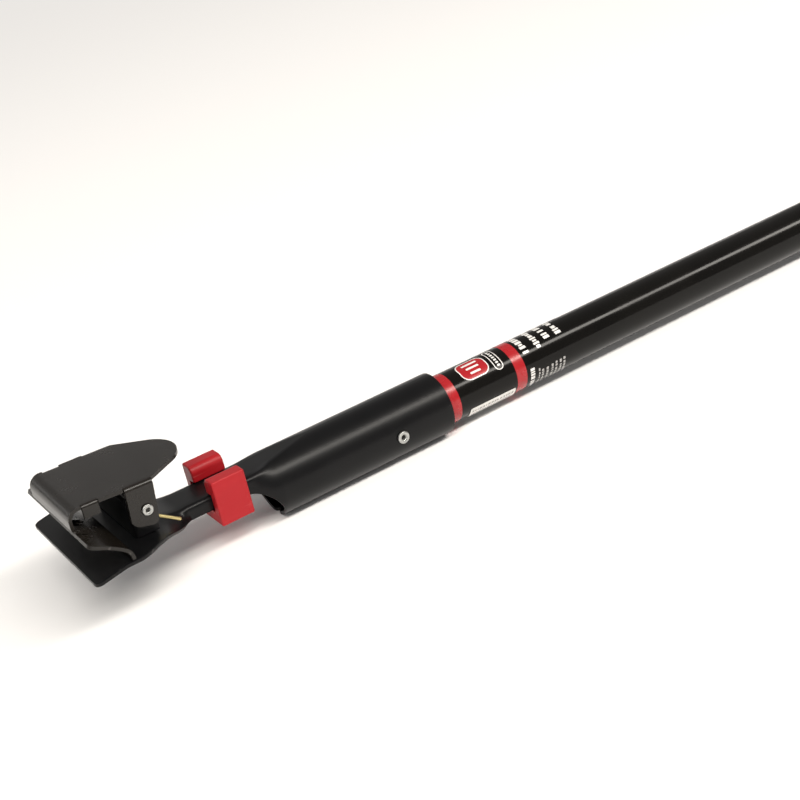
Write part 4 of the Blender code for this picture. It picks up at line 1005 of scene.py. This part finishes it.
def make_jaw(material):
    corner_steps = 6
    corner = [JAW_CORNER_RADIUS * (1 - math.cos(a)) for a in quarter(corner_steps)]
    runs = [("run", b - a, 1) for a, b in zip(corner, corner[1:])]
    path = follow((JAW_LIP_X, JAW_LIP_Z), -JAW_LIP_SLOPE,
                  runs + [("run", JAW_LIP_LENGTH - JAW_CORNER_RADIUS, 4),
                          ("bend", JAW_RAMP_RADIUS, -JAW_RAMP_SLOPE, 12),
                          ("bend", JAW_NOSE_RADIUS, -JAW_NOSE_SLOPE, 14), ("run", JAW_NOSE_END, 3)])
    shares = [2 * k / JAW_COLUMNS - 1 for k in range(JAW_COLUMNS + 1)]
    rows = []
    for number, (x, z) in enumerate(path):
        travelled = corner[min(number, corner_steps)]
        half = PLATE_WIDTH / 2 - corner_width(travelled, JAW_CORNER_RADIUS)
        rows.append([(x, half * share, z) for share in shares])
    bm, _ = grid_surface(rows)
    thicken(bm, JAW_SHEET)
    mark_rims(bm)
    jaw = new_piece("jaw_pressing", bm, material, "lever", ["jaw_plate"])
    add_bevel(jaw, PRESSING_EDGE, 3, 50)


# ---- bracket
def make_bracket(material):
    """U-shaped pressing: a floor, a front wall and two side walls with round bends."""
    low, high = BRACKET_LOW, BRACKET_HIGH
    outer = BRACKET_BEND
    inner = BRACKET_BEND - BRACKET_SHEET
    front_x, near_y, far_y = low.x + outer, low.y + outer, high.y - outer
    steps = 6

    def ring_at(z):
        """Plan outline of the U at height z: outside round the front, then back along the inside."""
        rear = high.x
        if z > high.z - BRACKET_TOP_RADIUS:
            rise = z - (high.z - BRACKET_TOP_RADIUS)
            rear = high.x - BRACKET_TOP_RADIUS + math.sqrt(max(BRACKET_TOP_RADIUS ** 2 - rise ** 2, 0.0))
        outside = [(rear, low.y), *arc_points((front_x, near_y), outer, -math.pi / 2, -math.pi, steps),
                   *arc_points((front_x, far_y), outer, math.pi, math.pi / 2, steps), (rear, high.y)]
        inside = [(rear, high.y - BRACKET_SHEET),
                  *arc_points((front_x, far_y), inner, math.pi / 2, math.pi, steps),
                  *arc_points((front_x, near_y), inner, -math.pi, -math.pi / 2, steps),
                  (rear, low.y + BRACKET_SHEET)]
        return outside + inside

    heights = [low.z] + spread(low.z, high.z - BRACKET_TOP_RADIUS, 6)
    heights += [high.z - BRACKET_TOP_RADIUS + BRACKET_TOP_RADIUS * math.sin(a) for a in quarter(8, 1)]
    bm = bmesh.new()
    rings = [[bm.verts.new((x, y, z)) for x, y in ring_at(z)] for z in heights]
    join_rings(bm, rings)
    cap_sheet_ends(bm, rings)
    mark_rims(bm)
    walls = new_piece("bracket_walls", bm, material, "base", ["hinge_bracket"])
    add_bevel(walls, BRACKET_WALL_EDGE, 2, 50)
    floor = bmesh.new()
    bmesh.ops.create_grid(floor, x_segments=8, y_segments=16, size=0.5)
    overlap = 0.2 * MM
    span = Vector((high.x - low.x - BRACKET_SHEET, high.y - low.y - 2 * BRACKET_SHEET + overlap, 0))
    for vert in floor.verts:
        vert.co = Vector((low.x + BRACKET_SHEET + (vert.co.x + 0.5) * span.x,
                          vert.co.y * span.y, low.z + BRACKET_SHEET / 2))
    thicken(floor, BRACKET_SHEET)
    mark_rims(floor)
    piece = new_piece("bracket_floor", floor, material, "base")
    add_bevel(piece, BRACKET_FLOOR_EDGE, 2, 50)


# ---- rivets and pin
def fastener(name, head, shank_radius, grip, tail, axis, center, material, body, node, hollow=0.0):
    """A rivet: domed head before center, shank over the grip, set tail behind, hollow or solid."""
    head_radius, head_height = head
    tail_radius, tail_height = tail
    tail_end = grip + tail_height
    profile = [(head_radius * math.sin(a), -head_height * math.cos(a)) for a in quarter(8)]
    profile += [(shank_radius, 0.0), (shank_radius, grip), (tail_radius, grip),
                (tail_radius, grip + tail_height * TAIL_STRAIGHT)]
    profile += [(tail_radius - tail_height * TAIL_ROUND * (1 - math.cos(a)),
                 grip + tail_height * (TAIL_STRAIGHT + TAIL_ROUND * math.sin(a))) for a in quarter(5, 1)]
    if hollow:
        profile += [(hollow * wide, tail_end - tail_height * deep) for wide, deep in HOLLOW_PROFILE]
    else:
        profile += [(0, tail_end)]
    new_piece(name, turned(profile, axis, center, 48), material, body, [node], 50)


def make_fasteners(material, dark):
    gap = SOCKET_RADIUS + TOUCH_GAP
    fastener("socket_rivet_set", SOCKET_RIVET_HEAD, SOCKET_RIVET_SHANK, 2 * gap, SOCKET_RIVET_TAIL,
             (0, -1, 0), (SOCKET_RIVET_X, gap, AXIS_Z), material, "base", "socket_rivet", SOCKET_RIVET_HOLLOW)
    reach = LEVER_HALF_WIDTH + TOUCH_GAP
    fastener("pivot_pin_set", PIN_HEAD, PIN_SHANK, 2 * reach, PIN_TAIL, (0, -1, 0),
             (PIVOT_X, reach, PIVOT_Z), material, "base", "pivot_pin", PIN_HOLLOW)
    ends = BRACKET_RIVET_HEAD[1] + BRACKET_RIVET_TAIL[1]
    below = JAW_SHEET / 2 + TOUCH_GAP
    above = JAW_SHEET / 2 + TOUCH_GAP + LEVER_SHEET + TOUCH_GAP
    for side, sign in (("near", -1), ("far", 1)):
        low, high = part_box(f"bracket_rivet_{side}")
        middle = (low + high) / 2
        fastener(f"bracket_rivet_set_{side}", BRACKET_RIVET_HEAD, BRACKET_RIVET_SHANK, high.z - low.z - ends,
                 BRACKET_RIVET_TAIL, (0, 0, -1), (middle.x, middle.y, high.z - BRACKET_RIVET_HEAD[1]),
                 material, "base", f"bracket_rivet_{side}")
        foot = Vector((JAW_LIP_X + JAW_RIVET_ALONG * math.cos(JAW_LIP_SLOPE), sign * JAW_RIVET_SPACING / 2,
                       JAW_LIP_Z - JAW_RIVET_ALONG * math.sin(JAW_LIP_SLOPE)))
        fastener(f"jaw_rivet_set_{side}", JAW_RIVET_HEAD, JAW_RIVET_SHANK, above + below, JAW_RIVET_TAIL,
                 -jaw_normal(), foot + jaw_normal() * above, dark, "lever", f"jaw_rivet_{side}")


# ---- torsion spring
def coil_point(angle, y):
    return (PIVOT_X + SPRING_COIL_RADIUS * math.cos(angle), y,
            PIVOT_Z + SPRING_COIL_RADIUS * math.sin(angle))


def make_springs(material):
    pitch = 2 * SPRING_WIRE_RADIUS + SPRING_TURN_GAP
    outer = BRACKET_HIGH.y - BRACKET_SHEET - SPRING_WALL_GAP - SPRING_WIRE_RADIUS
    inner = outer - pitch * SPRING_TURNS
    leave = -math.pi / 2 - SPRING_BASE_LEG_SLOPE
    tangent_x, _, tangent_z = coil_point(leave, 0)
    rest_z = plate_top(SPRING_LEG_END_X) + SPRING_WIRE_RADIUS + TOUCH_GAP
    leg = (tangent_z - rest_z) / math.sin(SPRING_BASE_LEG_SLOPE)
    steps = int(SPRING_TURNS * 36)
    for name, side in (("near", -1), ("far", 1)):
        path = [(tangent_x + leg * share * math.cos(SPRING_BASE_LEG_SLOPE), side * outer,
                 tangent_z - leg * share * math.sin(SPRING_BASE_LEG_SLOPE)) for share in (1, 0.75, 0.5, 0.25)]
        for k in range(steps + 1):
            share = k / steps
            path.append(coil_point(leave - 2 * math.pi * SPRING_TURNS * share,
                                   side * (outer + (inner - outer) * share)))
        new_piece(f"spring_wire_{name}", sweep(path, SPRING_WIRE_RADIUS), material, "base",
                  [f"spring_coil_{name}"], 60)
    arm_y = inner - 2 * SPRING_WIRE_RADIUS - TOUCH_GAP
    leave = math.pi / 2 + SPRING_LOOP_SLOPE
    corner = SPRING_LOOP_CORNER
    near = [coil_point(leave + math.pi * (1 - k / 24), -arm_y) for k in range(25)]
    start_x, _, start_z = near[-1]
    end_x = PIVOT_X + SPRING_LOOP_REACH
    end_z = start_z + (end_x - start_x) * math.tan(SPRING_LOOP_SLOPE)
    slant = (math.cos(SPRING_LOOP_SLOPE), math.sin(SPRING_LOOP_SLOPE))
    for angle in quarter(12):
        back = corner * (1 - math.sin(angle))
        near.append((end_x - back * slant[0], -arm_y + corner * (1 - math.cos(angle)),
                     end_z - back * slant[1]))
    path = near + [(x, -y, z) for x, y, z in reversed(near)]
    new_piece("spring_bridge", sweep(path, SPRING_WIRE_RADIUS), material, "lever",
              ["spring_loop"], 60)


# ---- slide lock
def make_lock(material):
    low, high = LOCK_LOW, LOCK_HIGH
    inner = SHANK_WIDTH / 2 - LOCK_LIP
    ledge = SHANK_TOP_Z + TOUCH_GAP
    under = SHANK_TOP_Z - SHANK_DEPTH - TOUCH_GAP
    side = SHANK_WIDTH / 2 + TOUCH_GAP
    radius = LOCK_INNER_RADIUS
    outer = high.y
    right = [(outer, low.z)] + [(outer, low.z + (high.z - low.z) * k / 6) for k in range(1, 6)]
    right += [(outer, high.z)]
    right += arc_points((inner + radius, high.z - radius), radius, math.pi / 2, math.pi, 16)
    right += [(inner, ledge), (side, ledge), (side, under)]
    left = [(-y, z) for y, z in reversed(right)]
    outline = right + left
    bm = bmesh.new()
    rings = [[bm.verts.new((x, y, z)) for y, z in outline] for x in [low.x] + spread(low.x, high.x, 6)]
    join_rings(bm, rings)
    cap_rings(bm, rings)
    lock = new_piece("lock_moulding", bm, material, "lock", ["lock_slider"], 30)
    add_bevel(lock, LOCK_EDGE, 4, 40)


# ---- tube, label, sticker, cap
def on_tube(x, angle, radius):
    """A point on a cylinder about the tube's axis; the angle runs from +Y over +Z."""
    return Vector((x, radius * math.cos(angle), AXIS_Z + radius * math.sin(angle)))


def along_tube(name, profile, start, segments, material, nodes=(), smooth_angle=35):
    """A fixed piece spun about the tube's axis."""
    new_piece(name, turned(profile, (1, 0, 0), (start, 0, AXIS_Z), segments), material, "base", nodes,
              smooth_angle)


def make_tube(vinyl_material, bushing_material):
    core = TUBE_RADIUS - 0.6 * MM
    start, end = TUBE_LOW.x, TUBE_HIGH.x
    wall = [(core, 0), (TUBE_RADIUS, 0)]
    wall += [(TUBE_RADIUS, (end - start) * k / 12) for k in range(1, 12)]
    wall += [(TUBE_RADIUS, end - start), (core, end - start)]
    along_tube("vinyl_skin", wall, start, 160, vinyl_material, ["vinyl_cover"])
    bore = TUBE_RADIUS + TOUCH_GAP * 0.5
    outer = (BUSHING_HIGH.y - BUSHING_LOW.y) / 2
    length = BUSHING_HIGH.x - BUSHING_LOW.x
    ring = rounded_profile([(bore, 0), (outer, 0), (outer, length), (bore, length)], 0.4 * MM)
    along_tube("bushing_sleeve", ring, BUSHING_LOW.x, 128, bushing_material,
               ["adapter_bushing"])


def wrap_patch(name, outline, radius, material, thickness=BAND_DEPTH, nodes=()):
    """A closed outline of (x, arc length) points, filled in a fine grid and wrapped round the tube."""
    bm = bmesh.new()
    bm.faces.new([bm.verts.new((x, s, 0)) for x, s in outline])
    low_s = min(s for _, s in outline)
    high_s = max(s for _, s in outline)
    cuts = max(1, int((high_s - low_s) / (0.7 * MM)))
    for k in range(1, cuts):
        place = low_s + (high_s - low_s) * k / cuts
        bmesh.ops.bisect_plane(bm, geom=bm.verts[:] + bm.edges[:] + bm.faces[:],
                               plane_co=(0, place, 0), plane_no=(0, 1, 0))
    bmesh.ops.triangulate(bm, faces=bm.faces)
    for vert in bm.verts:
        vert.co = on_tube(vert.co.x, vert.co.y / TUBE_RADIUS, radius)
    bmesh.ops.recalc_face_normals(bm, faces=bm.faces)
    face = bm.faces[:][0]
    outward = face.calc_center_median() - Vector((0, 0, AXIS_Z))
    outward.x = 0
    if face.normal.dot(outward) < 0:
        bmesh.ops.reverse_faces(bm, faces=bm.faces)
    thicken(bm, thickness)
    new_piece(name, bm, material, "base", nodes, 60)


def rounded_box(x, s, length, height, radius, steps):
    """Outline of a box with round corners, centred at (x, s)."""
    points = []
    for sign_x, sign_s, start in ((1, 1, 0), (-1, 1, 90), (-1, -1, 180), (1, -1, 270)):
        center = (x + sign_x * (length / 2 - radius), s + sign_s * (height / 2 - radius))
        points += arc_points(center, radius, math.radians(start), math.radians(start + 90), steps)
    return points


def mark(name, box, radius, material, steps=3):
    """One printed mark; box is (x, arc length, length, height, corner radius)."""
    wrap_patch(name, rounded_box(*box, steps), radius, material)


def make_badges(start, ink, film, red, white):
    """The emblem and the pill between the two red bands."""
    up = BADGE_ANGLE * TUBE_RADIUS
    emblem_x, pill_x = start + EMBLEM_PLACE, start + PILL_PLACE
    field, top = ink + PRINT_LIFT, ink + 2 * PRINT_LIFT
    mark("emblem_border", (emblem_x, up, 16.4 * MM, 12.8 * MM, 4.6 * MM), ink, white, 8)
    mark("emblem_field", (emblem_x, up, 15.2 * MM, 11.6 * MM, 4.0 * MM), field, red, 8)
    for k in range(3):
        bar = (emblem_x, up + (k - 1) * 3.0 * MM, 9 * MM - k * 1.4 * MM, 1.2 * MM, 0.5 * MM)
        mark(f"emblem_bar_{k}", bar, top, white, 5)
    mark("pill_border", (pill_x, up, 5.0 * MM, 15.4 * MM, 2.4 * MM), ink, white, 8)
    mark("pill_field", (pill_x, up, 4.0 * MM, 14.4 * MM, 1.9 * MM), field, film, 8)
    for stroke in range(7):
        mark(f"pill_stroke_{stroke}", (pill_x, up + (stroke - 3) * 1.7 * MM, 1.6 * MM, 1.0 * MM, 0.25 * MM),
             top, white)


def make_label(film, red, white, grey):
    start = LABEL_LOW.x
    length = LABEL_HIGH.x - LABEL_LOW.x
    skin, inner = TUBE_RADIUS + LABEL_TOP_LIFT, TUBE_RADIUS + LABEL_LOW_LIFT
    profile = [(inner, 0), (skin, 0), (skin, length / 3), (skin, 2 * length / 3), (skin, length),
               (inner, length)]
    along_tube("label_skin", profile, start, 160, film, ["label_wrap"])
    ink = skin + PRINT_LIFT
    hoop = [(ink - BAND_DEPTH, 0), (ink, 0), (ink, BAND_LENGTH), (ink - BAND_DEPTH, BAND_LENGTH)]
    for name, place in RED_BANDS:
        along_tube(name, hoop, start + place, 160, red)
    make_badges(start, ink, film, red, white)
    rng = random.Random(4)
    for row, (along, degrees) in enumerate(TITLE_ROWS):
        place = math.radians(degrees) * TUBE_RADIUS
        stroke = 0
        while place > TITLE_END * TUBE_RADIUS:
            size = rng.uniform(1.1, 2.1) * MM
            tall = rng.choice((3.6, 3.6, 2.5)) * MM
            mark(f"title_{row}_{stroke}", (start + along * MM, place - size / 2, tall, size, 0.3 * MM),
                 ink, white)
            place -= size + rng.choice((0.5, 0.5, 0.5, 1.6)) * MM
            stroke += 1
    tones = {"white": white, "grey": grey}
    for row, (along, degrees, tall, tone) in enumerate(SMALL_ROWS):
        place = math.radians(degrees) * TUBE_RADIUS
        stroke = 0
        while place < SMALL_END * TUBE_RADIUS:
            size = rng.uniform(0.8, 1.9) * MM
            mark(f"small_{row}_{stroke}", (start + along * MM, place + size / 2, tall * MM, size, 0.2 * MM),
                 ink, tones[tone])
            place += size + rng.choice((0.4, 0.4, 0.9)) * MM
            stroke += 1


def make_sticker(sheet, grey):
    radius = TUBE_RADIUS + STICKER_LIFT
    first, last = STICKER_START * TUBE_RADIUS, STICKER_END * TUBE_RADIUS
    center_x = (STICKER_LOW.x + STICKER_HIGH.x) / 2
    length = STICKER_HIGH.x - STICKER_LOW.x
    wrap_patch("sticker_sheet", rounded_box(center_x, (first + last) / 2, length, last - first, 0.8 * MM, 5),
               radius, sheet, 0.15 * MM, ["paper_sticker"])
    rng = random.Random(9)
    for row in range(3):
        x = STICKER_LOW.x + 1.2 * MM
        while x < STICKER_HIGH.x - 2.4 * MM:
            size = rng.uniform(0.6, 1.9) * MM
            mark(f"sticker_mark_{row}_{int(x * 1e5)}",
                 (x + size / 2, first + (2.4 + row * 2.9) * MM, size, 1.5 * MM, 0.2 * MM),
                 radius + 0.1 * MM, grey)
            x += size + rng.uniform(0.4, 0.8) * MM


def make_cap(material):
    low, high = CAP_LOW, CAP_HIGH
    outer = (high.y - low.y) / 2
    bore = TUBE_RADIUS + TOUCH_GAP
    depth = CAP_GROOVE_DEPTH
    outline = [(bore, 0), (outer, 0)]
    for k in range(CAP_GROOVES):
        groove = (CAP_GROOVE_START + k * CAP_GROOVE_PITCH) * MM
        outline += [(outer, groove), (outer - depth, groove + depth), (outer - depth, groove + 1.1 * MM),
                    (outer, groove + 1.6 * MM)]
    round_start = CAP_CUP_END - CAP_END_RADIUS
    outline += [(outer, round_start)]
    outline += [(outer - CAP_END_RADIUS * (1 - math.cos(a)), round_start + CAP_END_RADIUS * math.sin(a))
                for a in quarter(8, 1)]
    outline += [(0, CAP_CUP_END), (0, CAP_SEAT), (bore, CAP_SEAT)]
    along_tube("cap_cup", rounded_profile(outline, 0.25 * MM, 2), low.x, 128, material,
               ["hanger_cap"], 30)
    tip = high.x - CAP_TONGUE_HALF
    root = low.x + CAP_CUP_END - CAP_TONGUE_ROOT
    steps = 48
    outer_ring, inner_ring = [], []
    for k in range(steps):
        angle = 2 * math.pi * k / steps
        direction = Vector((math.cos(angle), math.sin(angle)))
        reach = CAP_TONGUE_HALF
        if direction.x < 0:
            reach = min((tip - root) / -direction.x, CAP_TONGUE_HALF / max(abs(direction.y), 1e-6))
        outer_ring.append((tip + direction.x * reach, AXIS_Z + direction.y * reach))
        inner_ring.append((tip + direction.x * CAP_HOLE_RADIUS, AXIS_Z + direction.y * CAP_HOLE_RADIUS))
    side = CAP_TONGUE_SHEET / 2
    bm = bmesh.new()
    loops = [[bm.verts.new((x, y, z)) for x, z in ring]
             for ring, y in ((outer_ring, -side), (outer_ring, side),
                             (inner_ring, side), (inner_ring, -side))]
    join_rings(bm, loops + [loops[0]])
    tongue = new_piece("cap_tongue", bm, material, "base", (), 30)
    add_bevel(tongue, CAP_TONGUE_EDGE, 4, 50)


# ---- put together
def main():
    make_camera()
    make_stage()
    frame_enamel = enamel("frame_enamel_black", (0.0025, 0.0026, 0.003), (0.005, 0.005, 0.0055),
                          0.30, 0.008 * MM, 0.20)
    lever_enamel = enamel("lever_enamel_black", (0.006, 0.0048, 0.0036), (0.011, 0.0088, 0.0066),
                          0.26, 0.004 * MM, 0.40)
    gloss_vinyl = vinyl()
    red_ink = print_ink("red_ink", *RED_TONES)
    white_ink = print_ink("white_ink", (0.62, 0.61, 0.59), (0.80, 0.79, 0.77))
    grey_ink = print_ink("grey_ink", (0.30, 0.29, 0.28), (0.42, 0.41, 0.40))
    bushing = matte_plastic("bushing_grain", (0.02, 0.02, 0.02), (0.035, 0.035, 0.035), 900.0)
    cap = matte_plastic("cap_grain", (0.016, 0.016, 0.016), (0.03, 0.03, 0.03), 1100.0)
    make_frame(frame_enamel)
    make_lever(lever_enamel)
    make_jaw(lever_enamel)
    make_bracket(frame_enamel)
    make_fasteners(plated_steel(), lever_enamel)
    make_springs(spring_wire())
    make_lock(red_plastic())
    make_tube(gloss_vinyl, bushing)
    make_label(gloss_vinyl, red_ink, white_ink, grey_ink)
    make_sticker(paper(), grey_ink)
    make_cap(cap)
    core = frame["nodes"]["tube_core"]
    core.data.materials.clear()
    core.data.materials.append(bare_tube())


main()
